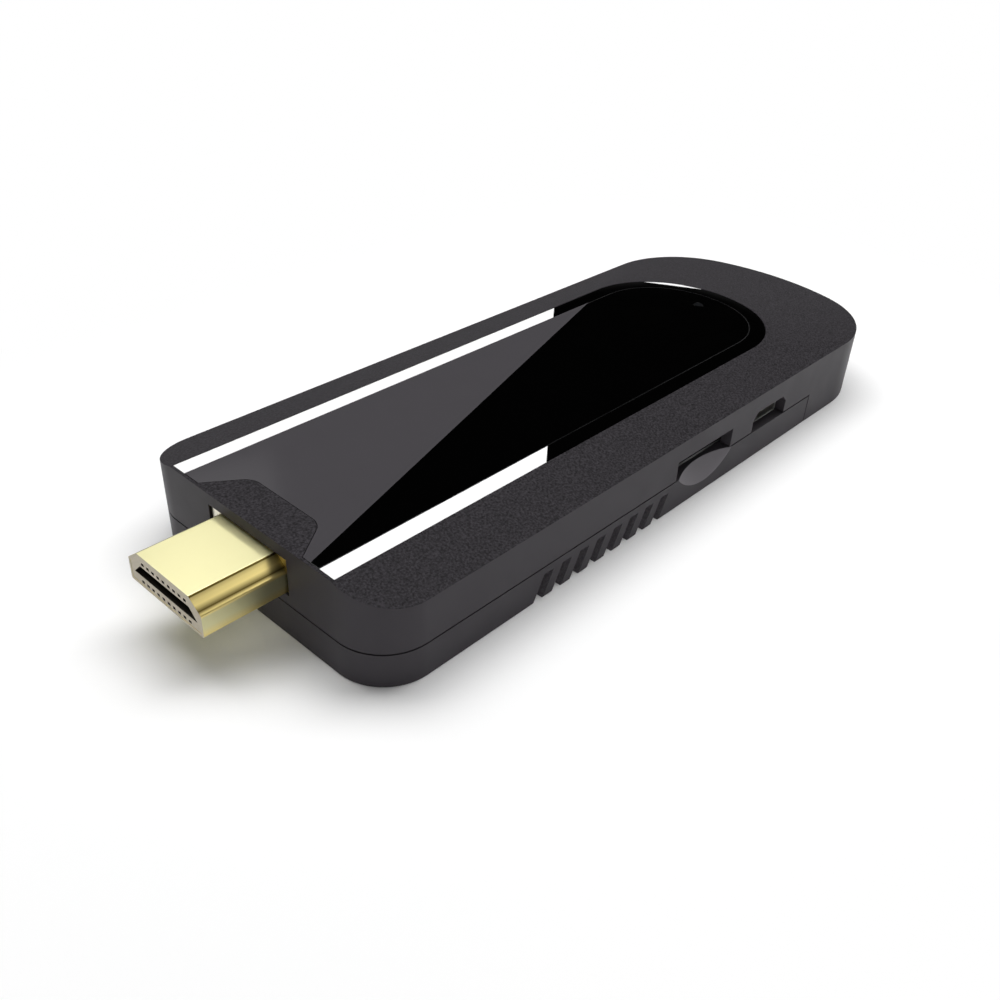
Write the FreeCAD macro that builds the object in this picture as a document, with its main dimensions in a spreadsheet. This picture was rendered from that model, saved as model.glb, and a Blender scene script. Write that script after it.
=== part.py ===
"""Streaming stick: a flat body with a fixed plug at one end and a rounded nose at the other.

Millimetres. X runs from the plug to the nose, Y across, Z up. The origin lies under the middle of the
whole stick, plug included, on the surface that it rests on.
"""
import FreeCAD
import Part
import Sketcher
import math
import os
import re
from FreeCAD import Placement, Rotation, Vector

# Driving sizes: name, value. A "place" runs along X from the outside of the front wall, a "side" along Y
# from the middle, and an "edge" inwards along Y from the board's long edge.
SIZES = [
    # Body form
    ("body_length", 113.5),
    ("body_width", 44.0),
    ("body_height", 12.6),
    ("edge_height", 10.6),
    ("nose_radius", 38.0),
    ("nose_corner", 15.5),
    ("front_corner", 6.7),
    ("bottom_chamfer", 0.12),
    # Walls and the seam between the two mouldings
    ("wall", 1.6),
    ("floor_thick", 1.4),
    ("roof_thick", 2.0),
    ("split_height", 4.8),
    ("seam_gap", 0.2),
    ("step_place", 88.1),
    ("lip_thick", 0.8),
    ("lip_rise", 1.0),
    ("lip_clear", 0.08),
    # Snap hooks on the lip, and the tongue that runs under the step
    ("hook_front_place", 10.0),
    ("hook_middle_place", 36.0),
    ("hook_rear_place", 83.7),
    ("hook_length", 3.6),
    ("hook_reach", 0.4),
    ("hook_height", 0.5),
    ("hook_drop", 0.25),
    ("hook_gap", 0.15),
    ("tongue_width", 24.0),
    ("tongue_root", 3.0),
    ("tongue_reach", 3.0),
    ("tongue_thick", 0.8),
    ("tongue_clear", 0.1),
    # Ribs under the roof
    ("rib_front_place", 10.0),
    ("rib_middle_place", 56.0),
    ("rib_rear_place", 80.0),
    ("rib_link_side", 9.0),
    ("rib_thick", 0.8),
    ("rib_drop", 1.3),
    ("rib_past", 3.5),
    # Shallow recess for a label underneath
    ("label_place", 48.0),
    ("label_length", 46.0),
    ("label_width", 24.0),
    ("label_round", 2.0),
    ("label_depth", 0.2),
    # Gloss panel and the pad that interrupts it over the plug
    ("panel_width", 29.7),
    ("panel_length", 94.3),
    ("panel_radius", 17.0),
    ("panel_corner", 13.5),
    ("panel_thick", 0.9),
    ("panel_lip", 0.4),
    ("panel_clear", 0.05),
    ("pad_depth", 5.5),
    ("pad_front_width", 19.8),
    ("pad_back_width", 12.1),
    ("pad_round", 2.4),
    # Light pipe under the small round window
    ("window_place", 88.0),
    ("window_across", 1.4),
    ("pipe_flange_across", 3.0),
    ("pipe_flange_thick", 0.8),
    ("pipe_clear", 0.04),
    ("pipe_gap", 0.4),
    # Main board
    ("board_level", 3.75),
    ("board_thick", 1.2),
    ("board_inset", 2.7),
    ("board_clear", 0.3),
    # Screws and their bosses
    ("screw_front_place", 14.0),
    ("screw_front_edge", 3.3),
    ("screw_rear_place", 83.5),
    ("screw_rear_edge", 3.8),
    ("screw_across", 1.7),
    ("screw_length", 5.6),
    ("screw_head_across", 3.4),
    ("screw_head_thick", 1.1),
    ("screw_clear", 0.03),
    ("boss_across", 4.4),
    ("boss_root", 0.4),
    # Board posts on the lower cover
    ("post_front_place", 24.0),
    ("post_rear_place", 80.0),
    ("post_edge", 10.3),
    ("post_across", 3.0),
    # Plug
    ("plug_reach", 10.5),
    ("plug_inside", 6.0),
    ("plug_drop", 6.25),
    ("plug_width", 13.9),
    ("plug_height", 4.45),
    ("plug_side_height", 2.9),
    ("plug_top_width", 9.9),
    ("plug_wall", 0.35),
    ("plug_round", 0.3),
    ("plug_opening_gap", 0.25),
    ("plug_face_recess", 0.05),
    ("plug_slot_level", 1.5),
    ("plug_slot_height", 1.35),
    ("plug_slot_width", 12.0),
    ("plug_slot_top_width", 9.3),
    ("plug_slot_depth", 8.5),
    ("plug_contact_pitch", 1.0),
    ("plug_contact_width", 0.4),
    ("plug_contact_thick", 0.25),
    ("plug_contact_recess", 2.2),
    ("plug_tunnel_gap", 0.1),
    ("plug_low_row", 0.62),
    ("plug_high_row", 3.22),
    ("plug_low_tail", 0.5),
    ("plug_high_tail", 2.2),
    ("plug_low_count", 10),
    ("plug_high_count", 9),
    ("plug_foot", 0.8),
    # Dovetailed fold under the plug's shell
    ("fold_gap", 0.12),
    ("fold_start", 3.0),
    ("fold_length", 3.0),
    ("fold_reach", 1.2),
    ("fold_flare", 0.4),
    # Bracket round the rear of the plug
    ("bracket_setback", 0.3),
    ("bracket_gap", 0.13),
    ("bracket_clear", 0.025),
    ("bracket_flange", 0.4),
    ("bracket_length", 4.8),
    ("bracket_thick", 0.25),
    ("bracket_leg_place", 3.6),
    ("bracket_leg_width", 1.2),
    ("bracket_leg_below", 0.4),
    # Processor, pad and heat sink
    ("processor_place", 36.0),
    ("processor_side", 1.0),
    ("processor_across", 15.0),
    ("processor_height", 1.3),
    ("thermal_pad_across", 14.0),
    ("thermal_pad_thick", 0.8),
    ("sink_length", 30.0),
    ("sink_width", 24.0),
    ("sink_base", 1.0),
    ("sink_top_gap", 0.65),
    ("sink_fin_thick", 0.8),
    ("sink_fin_pitch", 2.9),
    ("sink_fin_count", 9),
    # Chips: place, distance in from the board's edge, length along X, width along Y, height
    ("memory_place", 24.0),
    ("memory_edge", 11.7),
    ("memory_length", 9.0),
    ("memory_width", 10.6),
    ("memory_height", 1.1),
    ("flash_place", 52.7),
    ("flash_edge", 5.3),
    ("flash_length", 11.5),
    ("flash_width", 9.0),
    ("flash_height", 1.0),
    ("power_place", 44.2),
    ("power_edge", 4.5),
    ("power_across", 5.0),
    ("power_height", 0.9),
    ("crystal_place", 47.0),
    ("crystal_edge", 4.8),
    ("crystal_length", 3.2),
    ("crystal_width", 2.5),
    ("crystal_height", 0.8),
    # Inductors and small capacitors
    ("inductor_place", 39.0),
    ("inductor_edge", 2.3),
    ("inductor_across", 3.6),
    ("inductor_height", 1.8),
    ("inductor_pitch", 4.6),
    ("inductor_chamfer", 0.7),
    ("inductor_count", 3),
    ("capacitor_place", 22.0),
    ("capacitor_edge", 1.9),
    ("capacitor_length", 1.6),
    ("capacitor_width", 0.8),
    ("capacitor_height", 0.8),
    ("capacitor_pitch", 2.4),
    ("capacitor_count", 10),
    # Wireless module and antenna
    ("wireless_place", 78.0),
    ("wireless_side", -1.5),
    ("wireless_across", 12.0),
    ("wireless_thick", 0.7),
    ("shield_border", 0.9),
    ("shield_height", 1.3),
    ("shield_sheet", 0.2),
    ("antenna_setback", 12.5),
    ("antenna_side", 7.5),
    ("antenna_width", 10.0),
    ("antenna_foot", 2.6),
    ("antenna_arm", 5.0),
    ("antenna_height", 3.6),
    ("antenna_sheet", 0.3),
    ("antenna_slot", 0.8),
    # Status light
    ("light_length", 1.6),
    ("light_width", 0.8),
    ("light_height", 0.45),
    ("light_lens_height", 0.35),
    # Micro-USB socket
    ("micro_place", 75.6),
    ("micro_setback", 1.2),
    ("micro_width", 7.6),
    ("micro_height", 2.65),
    ("micro_chamfer", 1.0),
    ("micro_depth", 5.6),
    ("micro_sheet", 0.25),
    ("micro_lift", 0.05),
    ("micro_side_gap", 0.7),
    ("micro_top_gap", 0.1),
    ("micro_tongue_width", 3.7),
    ("micro_tongue_thick", 0.6),
    ("micro_tongue_level", 1.15),
    ("micro_block_depth", 1.6),
    ("micro_contact_width", 0.3),
    ("micro_contact_pitch", 0.65),
    ("micro_contact_thick", 0.15),
    ("micro_contact_count", 5),
    ("micro_tail", 1.2),
    ("micro_wing", 0.9),
    ("micro_wing_length", 1.6),
    # Card slot in the side wall and the scoop under it
    ("slot_place", 58.8),
    ("slot_width", 13.2),
    ("slot_height", 2.9),
    ("scoop_offset", 0.6),
    ("scoop_width", 13.0),
    ("scoop_drop", 2.8),
    ("scoop_depth", 1.5),
    # Card socket
    ("card_offset", 0.75),
    ("card_width", 13.9),
    ("card_depth", 14.6),
    ("card_height", 1.9),
    ("card_gap", 0.2),
    ("card_floor", 0.4),
    ("card_rail", 0.6),
    ("card_passage", 11.2),
    ("card_rear", 0.8),
    ("card_sheet", 0.2),
    ("card_contact_width", 0.5),
    ("card_contact_pitch", 1.1),
    ("card_contact_thick", 0.15),
    ("card_contact_place", 7.0),
    ("card_contact_length", 4.2),
    ("card_contact_rise", 0.45),
    ("card_contact_count", 8),
    ("card_tail", 1.0),
    # Slider and spring of the card socket
    ("slider_clear", 0.1),
    ("slider_length", 5.0),
    ("slider_height", 1.0),
    ("slider_hook", 1.4),
    ("slider_hook_length", 1.0),
    ("slider_travel", 2.0),
    ("spring_across", 1.0),
    ("spring_bore", 0.6),
    ("spring_clear", 0.1),
    ("spring_packed", 1.6),
    # USB-A socket on the far side
    ("usb_place", 66.6),
    ("usb_setback", 0.4),
    ("usb_width", 13.1),
    ("usb_height", 5.7),
    ("usb_depth", 14.0),
    ("usb_level", 3.2),
    ("usb_sheet", 0.3),
    ("usb_gap", 0.3),
    ("usb_block_depth", 4.0),
    ("usb_tongue_width", 11.1),
    ("usb_tongue_thick", 1.84),
    ("usb_tongue_level", 2.9),
    ("usb_tongue_length", 8.8),
    ("usb_contact_width", 1.0),
    ("usb_contact_pitch", 2.3),
    ("usb_contact_thick", 0.2),
    ("usb_contact_count", 4),
    ("usb_wing", 1.3),
    ("usb_wing_length", 2.4),
    ("usb_tail", 1.5),
    ("usb_leaf_side", 3.3),
    ("usb_leaf_width", 2.2),
    ("usb_leaf_length", 5.5),
    ("usb_leaf_start", 2.0),
    ("usb_leaf_rise", 0.35),
    ("usb_leaf_gap", 0.25),
    # Reset switch behind a pinhole on the far side
    ("switch_place", 24.0),
    ("switch_width", 4.7),
    ("switch_depth", 2.2),
    ("switch_height", 1.8),
    ("switch_setback", 3.0),
    ("switch_sheet", 0.15),
    ("button_width", 1.6),
    ("button_height", 0.8),
    ("button_length", 1.3),
    ("button_in", 0.5),
    ("button_clear", 0.1),
    ("button_travel", 0.25),
    ("pinhole_across", 1.4),
    # Vent slots
    ("vent_place", 25.65),
    ("vent_count", 8),
    ("vent_pitch", 3.35),
    ("vent_width", 1.65),
    ("vent_height", 3.55),
    ("vent_slant", 1.7),
    ("vent_past", 0.1),
    # Reach of a cutting form past the surface that it opens
    ("over", 1.0),
]

# Where the front wall's outer face lies, and levels and places that several pieces share.
FRONT = "(plug_reach - body_length) / 2"
HALF = "body_width / 2"
NEAR = "-body_width / 2"
BOARD_TOP = "board_level + board_thick"
BOARD_HALF = "body_width / 2 - board_inset"
PLUG_LEVEL = "body_height - plug_drop"
PLUG_TOP = f"{PLUG_LEVEL} + plug_height"
CEILING = "body_height - roof_thick"
SEAM_LOW = "split_height - seam_gap"

doc = FreeCAD.newDocument("streaming_stick")
sheet = doc.addObject("Spreadsheet::Sheet", "Sizes")
for row, (alias, value) in enumerate(SIZES, start=1):
    sheet.set("A%d" % row, alias)
    sheet.set("B%d" % row, str(value))
    sheet.setAlias("B%d" % row, alias)
doc.recompute()

ALIASES = {alias for alias, value in SIZES}
PIECES = []


def formula(text):
    """An expression on the sheet's cells from one written with their names alone."""
    return re.sub(r"[a-z_]+", lambda word: ("Sizes." if word[0] in ALIASES else "") + word[0], text)


def number(text):
    """The present value of an expression."""
    return float(sheet.evalExpression(formula(text)))


def bind(item, **expressions):
    """Ties properties of an object to expressions."""
    for name, text in expressions.items():
        item.setExpression(name, formula(text))


def place(item, x, y, z, rotation=Rotation()):
    """Puts an object's own origin at x, y, z."""
    item.Placement = Placement(Vector(), rotation)
    item.setExpression("Placement.Base.x", formula(x))
    item.setExpression("Placement.Base.y", formula(y))
    item.setExpression("Placement.Base.z", formula(z))


def block(name, x, y, z, length, width, height):
    """A box with its lowest corner at x, y, z."""
    item = doc.addObject("Part::Box", name)
    bind(item, Length=length, Width=width, Height=height)
    place(item, x, y, z)
    return item


def block_on(name, x, y, z, length, width, height):
    """A box that stands on the point x, y, z, centred on it along X and Y."""
    return block(name, f"{x} - ({length}) / 2", f"{y} - ({width}) / 2", z, length, width, height)


def rod(name, x, y, z, across, height, rotation=Rotation()):
    """A cylinder that starts at x, y, z."""
    item = doc.addObject("Part::Cylinder", name)
    bind(item, Radius=f"({across}) / 2", Height=height)
    place(item, x, y, z, rotation)
    return item


def joined(name, items):
    """The union of some shapes."""
    item = doc.addObject("Part::MultiFuse", name)
    item.Shapes = items
    return item


def gathered(name, items):
    """Separate solids kept as one set."""
    item = doc.addObject("Part::Compound", name)
    item.Links = items
    return item


def shared(name, first, second):
    """What two shapes have in common."""
    item = doc.addObject("Part::Common", name)
    item.Base = first
    item.Tool = second
    return item


def without(name, base, tools):
    """A shape with the tools taken away."""
    item = doc.addObject("Part::Cut", name)
    item.Base = base
    item.Tool = tools[0] if len(tools) == 1 else joined(name + "_tools", tools)
    return item


def fix(sketch, geometry, point, x, y):
    """Ties a point of a sketch to expressions, measured from the sketch's origin."""
    for kind, text in (("DistanceX", x), ("DistanceY", y)):
        index = sketch.addConstraint(Sketcher.Constraint(kind, -1, 1, geometry, point, number(text)))
        sketch.setExpression("Constraints[%d]" % index, formula(text))


def fix_radius(sketch, geometry, text):
    """Ties an arc's or circle's radius to an expression."""
    index = sketch.addConstraint(Sketcher.Constraint("Radius", geometry, number(text)))
    sketch.setExpression("Constraints[%d]" % index, formula(text))


def outline(sketch, corners):
    """A closed outline of straight runs. A corner with a third value is rounded to that radius."""
    count = len(corners)
    spots = [Vector(number(corner[0]), number(corner[1]), 0) for corner in corners]
    radii = [number(corner[2]) if len(corner) > 2 else 0.0 for corner in corners]
    ends = []
    starts = []
    centres = []
    for index, spot in enumerate(spots):
        back = (spots[index - 1] - spot).normalize()
        ahead = (spots[(index + 1) % count] - spot).normalize()
        half = back.getAngle(ahead) / 2
        reach = radii[index] / math.tan(half)
        ends.append(spot + back * reach)
        starts.append(spot + ahead * reach)
        centres.append(spot + (back + ahead).normalize() * (radii[index] / math.sin(half)))
    runs = []
    for index in range(count):
        run = Part.LineSegment(starts[index], ends[(index + 1) % count])
        runs.append(sketch.addGeometry(run))
    for index, corner in enumerate(corners):
        before = runs[index - 1]
        after = runs[index]
        if len(corner) == 2:
            sketch.addConstraint(Sketcher.Constraint("Coincident", before, 2, after, 1))
            fix(sketch, after, 1, corner[0], corner[1])
            continue
        centre = centres[index]
        first = math.atan2(ends[index].y - centre.y, ends[index].x - centre.x)
        last = math.atan2(starts[index].y - centre.y, starts[index].x - centre.x)
        left_turn = math.sin(last - first) > 0
        if not left_turn:
            first, last = last, first
        circle = Part.Circle(centre, Vector(0, 0, 1), radii[index])
        arc = sketch.addGeometry(Part.ArcOfCircle(circle, first, last))
        into, out = (1, 2) if left_turn else (2, 1)
        sketch.addConstraint(Sketcher.Constraint("Tangent", before, 2, arc, into))
        sketch.addConstraint(Sketcher.Constraint("Tangent", arc, out, after, 1))
        fix_radius(sketch, arc, corner[2])
        tip = sketch.addGeometry(Part.Point(spots[index]), True)
        sketch.addConstraint(Sketcher.Constraint("PointOnObject", tip, 1, before))
        sketch.addConstraint(Sketcher.Constraint("PointOnObject", tip, 1, after))
        fix(sketch, tip, 1, corner[0], corner[1])


def rectangle(sketch, x, y, length, width):
    """A rectangle from its lowest corner."""
    far_x = f"{x} + {length}"
    far_y = f"{y} + {width}"
    outline(sketch, [(x, y), (far_x, y), (far_x, far_y), (x, far_y)])


def nose_outline(sketch, front, tip, half, nose, corner, front_round=None):
    """A straight-sided outline that ends in a shallow arc between two corner arcs.

    The front end is square, or rounded to front_round.
    """
    front_x, tip_x, half_y = number(front), number(tip), number(half)
    nose_r, corner_r = number(nose), number(corner)
    centre_x = tip_x - nose_r
    corner_x = centre_x + math.sqrt((nose_r - corner_r) ** 2 - (half_y - corner_r) ** 2)
    turn = math.atan2(half_y - corner_r, corner_x - centre_x)
    front_r = number(front_round) if front_round else 0.0

    def arc(x, y, radius, first, last):
        whole = Part.Circle(Vector(x, y, 0), Vector(0, 0, 1), radius)
        return sketch.addGeometry(Part.ArcOfCircle(whole, first, last))

    def line(x, y, end_x, end_y):
        return sketch.addGeometry(Part.LineSegment(Vector(x, y, 0), Vector(end_x, end_y, 0)))

    right = math.pi / 2
    near = line(front_x + front_r, -half_y, corner_x, -half_y)
    near_corner = arc(corner_x, corner_r - half_y, corner_r, -right, -turn)
    end = arc(centre_x, 0, nose_r, -turn, turn)
    far_corner = arc(corner_x, half_y - corner_r, corner_r, turn, right)
    far = line(corner_x, half_y, front_x + front_r, half_y)
    if front_round:
        far_front = arc(front_x + front_r, half_y - front_r, front_r, right, 2 * right)
        across = line(front_x, half_y - front_r, front_x, front_r - half_y)
        near_front = arc(front_x + front_r, front_r - half_y, front_r, 2 * right, 3 * right)
        chain = [near, near_corner, end, far_corner, far, far_front, across, near_front, near]
    else:
        across = line(front_x, half_y, front_x, -half_y)
        chain = [near, near_corner, end, far_corner, far]
        sketch.addConstraint(Sketcher.Constraint("Coincident", far, 2, across, 1))
        sketch.addConstraint(Sketcher.Constraint("Coincident", across, 2, near, 1))
    for first, second in zip(chain, chain[1:]):
        sketch.addConstraint(Sketcher.Constraint("Tangent", first, 2, second, 1))
    sketch.addConstraint(Sketcher.Constraint("Horizontal", near))
    sketch.addConstraint(Sketcher.Constraint("Horizontal", far))
    sketch.addConstraint(Sketcher.Constraint("Vertical", across))
    for geometry in (near_corner, far_corner):
        fix_radius(sketch, geometry, corner)
    if front_round:
        for geometry in (near_front, far_front):
            fix_radius(sketch, geometry, front_round)
    fix_radius(sketch, end, nose)
    fix(sketch, end, 3, f"{tip} - ({nose})", "0")
    for kind, geometry, text in (("DistanceX", across, front), ("DistanceY", near, f"-({half})"),
                                 ("DistanceY", far, half)):
        index = sketch.addConstraint(Sketcher.Constraint(kind, -1, 1, geometry, 1, number(text)))
        sketch.setExpression("Constraints[%d]" % index, formula(text))


def start_body(name):
    """An empty PartDesign body."""
    return doc.addObject("PartDesign::Body", name)


def sketch_in(body, name, plane, level):
    """A sketch in a body, parallel to XY, XZ or YZ at a level along that plane's axis."""
    sketch = body.newObject("Sketcher::SketchObject", name)
    support = [feature for feature in body.Origin.OriginFeatures if feature.Role == plane + "_Plane"]
    sketch.AttachmentSupport = [(support[0], "")]
    sketch.MapMode = "FlatFace"
    bind(sketch, **{"AttachmentOffset.Base.z": f"-({level})" if plane == "XZ" else level})
    return sketch


def prism(name, plane, level, length, loops):
    """A body with one pad from a level along the plane's axis. Each loop is a list of corners."""
    body = start_body(name)
    sketch = sketch_in(body, name + "_sketch", plane, level)
    for loop in loops:
        outline(sketch, loop)
    pad = body.newObject("PartDesign::Pad", name + "_pad")
    pad.Profile = sketch
    pad.Reversed = plane == "XZ"
    bind(pad, Length=length)
    return body


def nose_prism(name, level, height, front, tip, half, nose, corner, front_round=None):
    """A body with one pad of a nose outline."""
    body = start_body(name)
    sketch = sketch_in(body, name + "_sketch", "XY", level)
    nose_outline(sketch, front, tip, half, nose, corner, front_round)
    pad = body.newObject("PartDesign::Pad", name + "_pad")
    pad.Profile = sketch
    bind(pad, Length=height)
    return body


def body_prism(name, inset, level, height):
    """The stick's plan outline, drawn in by an inset, over a stretch of height."""
    return nose_prism(name, level, height, f"{FRONT} + {inset}", f"{FRONT} + body_length - ({inset})",
                      f"{HALF} - ({inset})", f"nose_radius - ({inset})", f"nose_corner - ({inset})",
                      f"front_corner - ({inset})")


def finish(item, name):
    """Names a finished piece and keeps it for export."""
    item.Label = name
    PIECES.append(item)
    return item


def mirrored_sides(value):
    """The same distance to the near and to the far side."""
    return (("near", f"-({value})"), ("far", value))


def crowned_form(name, inset, bottom, shoulder, top):
    """The stick's outer form, or its inside with an inset: flat under the panel, sloping to the edges."""
    body = start_body(name + "_crown")
    lower = sketch_in(body, name + "_plan", "XY", bottom)
    upper_edge = sketch_in(body, name + "_shoulder", "XY", shoulder)
    for sketch in (lower, upper_edge):
        nose_outline(sketch, f"{FRONT} + {inset}", f"{FRONT} + body_length - ({inset})",
                     f"{HALF} - ({inset})", f"nose_radius - ({inset})", f"nose_corner - ({inset})")
    flat = sketch_in(body, name + "_flat", "XY", top)
    nose_outline(flat, f"{FRONT} + {inset}", f"{FRONT} + panel_length", "panel_width / 2",
                 "panel_radius", "panel_corner")
    pad = body.newObject("PartDesign::Pad", name + "_sides")
    pad.Profile = lower
    bind(pad, Length=f"{shoulder} - ({bottom})")
    loft = body.newObject("PartDesign::AdditiveLoft", name + "_slopes")
    loft.Profile = upper_edge
    loft.Sections = [flat]
    loft.Ruled = True
    rounded = body_prism(name + "_rounded", inset, bottom, f"{top} - ({bottom})")
    return shared(name, rounded, body)


def bottom_edges(shape):
    """Names of the edges that lie in a shape's lowest plane."""
    level = shape.BoundBox.ZMin
    return ["Edge%d" % (index + 1) for index, edge in enumerate(shape.Edges)
            if edge.BoundBox.ZMax < level + 1e-6]


def envelope():
    """The outside of the closed stick, with its bottom edge broken."""
    form = crowned_form("envelope", "0", "0", "edge_height", "body_height")
    rounded = form.Base
    doc.recompute()
    pad = rounded.Tip
    chamfer = rounded.newObject("PartDesign::Chamfer", "envelope_bottom")
    chamfer.Base = (pad, bottom_edges(pad.Shape))
    bind(chamfer, Size="bottom_chamfer")
    rounded.Tip = chamfer
    return form


def pad_outline(gap):
    """The trapezoid pad over the plug, with a gap round it."""
    front_half = f"(pad_front_width / 2 + {gap})"
    back_half = f"(pad_back_width / 2 + {gap})"
    back = f"{FRONT} + pad_depth + {gap}"
    return [(f"{FRONT} - over", f"-{front_half}"), (f"{FRONT}", f"-{front_half}"),
            (back, f"-{back_half}", "pad_round"), (back, back_half, "pad_round"),
            (FRONT, front_half), (f"{FRONT} - over", front_half)]


def panel_form(name, gap, level, height, pad_gap):
    """The gloss panel's plan form with a notch for the pad."""
    plate = nose_prism(name + "_plate", level, height, f"{FRONT} + panel_lip + {gap}",
                       f"{FRONT} + panel_length - ({gap})", f"panel_width / 2 - ({gap})",
                       f"panel_radius - ({gap})", f"panel_corner - ({gap})")
    notch = prism(name + "_notch", "XY", f"{level} - over", f"{height} + 2 * over",
                  [pad_outline(pad_gap)])
    return without(name, plate, [notch])


def micro_profile(gap, bottom, top):
    """Socket profile in XZ with its two upper corners cut off."""
    left = f"{FRONT} + micro_place - micro_width / 2 - ({gap})"
    right = f"{FRONT} + micro_place + micro_width / 2 + {gap}"
    return [(left, bottom), (right, bottom), (right, f"{top} - micro_chamfer"),
            (f"{right} - micro_chamfer", top), (f"{left} + micro_chamfer", top),
            (left, f"{top} - micro_chamfer")]


def plug_profile(inset):
    """Plug profile in YZ, wide side down, with its walls drawn in by an inset."""
    slope = "atan((plug_width - plug_top_width) / 2 / (plug_height - plug_side_height))"
    side = f"(plug_width / 2 - ({inset}))"
    top = f"(plug_top_width / 2 - ({inset}) * tan((90 deg - {slope}) / 2))"
    shoulder = f"{PLUG_LEVEL} + plug_side_height - ({inset}) * tan({slope} / 2)"
    low = f"{PLUG_LEVEL} + {inset}"
    high = f"{PLUG_TOP} - ({inset})"
    corner = f"plug_round - ({inset}) / 2"
    return [(f"-{side}", low, corner), (side, low, corner), (side, shoulder, corner),
            (top, high, corner), (f"-{top}", high, corner), (f"-{side}", shoulder, corner)]


def screw_spots():
    """The four board screws: name, place along X, side along Y."""
    spots = []
    for end in ("front", "rear"):
        for name, side in mirrored_sides(f"{BOARD_HALF} - screw_{end}_edge"):
            spots.append((f"{end}_{name}", f"{FRONT} + screw_{end}_place", side))
    return spots


def hook_spots():
    """The six snap hooks: name, place along X, and the sign of their side."""
    return [(f"{end}_{name}", f"{FRONT} + hook_{end}_place", sign)
            for end in ("front", "middle", "rear") for name, sign in mirrored_sides("1")]


def socket_blocks(name, bottom, top):
    """Blocks that clear the seam lip from the sockets, the switch and the plug."""
    card_left = f"{FRONT} + slot_place + card_offset - card_width / 2 - board_clear"
    micro_left = f"{FRONT} + micro_place - micro_width / 2 - micro_wing - board_clear"
    usb_left = f"{FRONT} + usb_place - usb_width / 2 - usb_gap"
    switch_left = f"{FRONT} + switch_place - switch_width / 2 - board_clear"
    height = f"{top} - ({bottom})"
    depth = "lip_thick + lip_clear + board_clear"
    near = f"{NEAR} + wall"
    far = f"{HALF} - wall - ({depth})"
    plug_half = "(plug_width / 2 + bracket_thick + board_clear)"
    return [
        block(name + "_plug", f"{FRONT} + wall", f"-{plug_half}", bottom, depth, f"2 * {plug_half}",
              height),
        block(name + "_card", card_left, near, bottom, "card_width + 2 * board_clear", depth, height),
        block(name + "_micro", micro_left, near, bottom,
              "micro_width + 2 * (micro_wing + board_clear)", depth, height),
        block(name + "_usb", usb_left, far, bottom, "usb_width + 2 * usb_gap", depth, height),
        block(name + "_switch", switch_left, far, bottom, "switch_width + 2 * board_clear", depth,
              height),
    ]


def make_upper_housing(form, hollow):
    """Upper moulding: roof, side walls above the seam and the whole nose."""
    under = block("upper_under", f"{FRONT} - over", f"{NEAR} - over", "-over", "step_place + over",
                  "body_width + 2 * over", "split_height + over")
    recess = panel_form("panel_recess", "0", "body_height - panel_thick", "panel_thick + over", "0")
    opening_half = "(plug_width / 2 + plug_opening_gap)"
    opening = block("plug_opening", f"{FRONT} - over", f"-{opening_half}",
                    f"{PLUG_LEVEL} - plug_opening_gap", "wall + 2 * over", f"2 * {opening_half}",
                    "plug_height + 2 * plug_opening_gap")
    room_half = "(plug_width / 2 + bracket_thick + 2 * plug_opening_gap)"
    room = block("plug_room", f"{FRONT} + wall", f"-{room_half}", f"{CEILING} - over",
                 "bracket_setback + bracket_length + plug_foot", f"2 * {room_half}",
                 f"{PLUG_TOP} + bracket_gap + plug_opening_gap - ({CEILING}) + over")
    window = rod("window_hole", f"{FRONT} + window_place", "0", "split_height",
                 "window_across + 2 * pipe_clear", "body_height")
    slot = block("card_opening", f"{FRONT} + slot_place - slot_width / 2", f"{NEAR} - over",
                 "split_height - over", "slot_width", "wall + 2 * over", "slot_height + over")
    micro = prism("micro_opening", "XZ", f"{NEAR} - over", "wall + 2 * over",
                  [micro_profile("micro_side_gap", "split_height - over",
                                 f"{BOARD_TOP} + micro_lift + micro_height + micro_top_gap")])
    usb = block("usb_opening", f"{FRONT} + usb_place - usb_width / 2 - usb_gap",
                f"{HALF} - wall - over", "split_height - over", "usb_width + 2 * usb_gap",
                "wall + 2 * over", "usb_level + usb_height + usb_gap - split_height + over")
    pinhole = rod("pinhole", f"{FRONT} + switch_place", f"{HALF} + over",
                  f"{BOARD_TOP} + switch_height / 2", "pinhole_across", "wall + 2 * over",
                  Rotation(Vector(1, 0, 0), 90))
    shell = without("upper_shell", form,
                    [hollow, under, recess, opening, room, window, slot, micro, usb, pinhole])
    bosses = []
    bores = []
    for name, x, y in screw_spots():
        bosses.append(rod("boss_" + name, x, y, BOARD_TOP, "boss_across",
                          f"{CEILING} + boss_root - ({BOARD_TOP})"))
        bores.append(rod("bore_" + name, x, y, f"{BOARD_TOP} - over",
                         "screw_across + 2 * screw_clear", "screw_length + over"))
    body = joined("upper_with_bosses", [shell] + bosses + roof_ribs())
    finish(without("upper_moulding", body, bores + hook_pockets()), "upper_housing")


def roof_ribs():
    """Three ribs across the roof and two that link the rear ones."""
    level = f"{CEILING} - rib_drop"
    height = "rib_drop + boss_root"
    ribs = []
    for end in ("front", "middle", "rear"):
        ribs.append(block_on(f"rib_{end}", f"{FRONT} + rib_{end}_place", "0", level, "rib_thick",
                             "panel_width + 2 * rib_past", height))
    for name, side in mirrored_sides("rib_link_side"):
        ribs.append(block_on(f"rib_link_{name}", f"{FRONT} + (rib_middle_place + rib_rear_place) / 2",
                             side, level, "rib_rear_place - rib_middle_place", "rib_thick", height))
    return ribs


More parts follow.
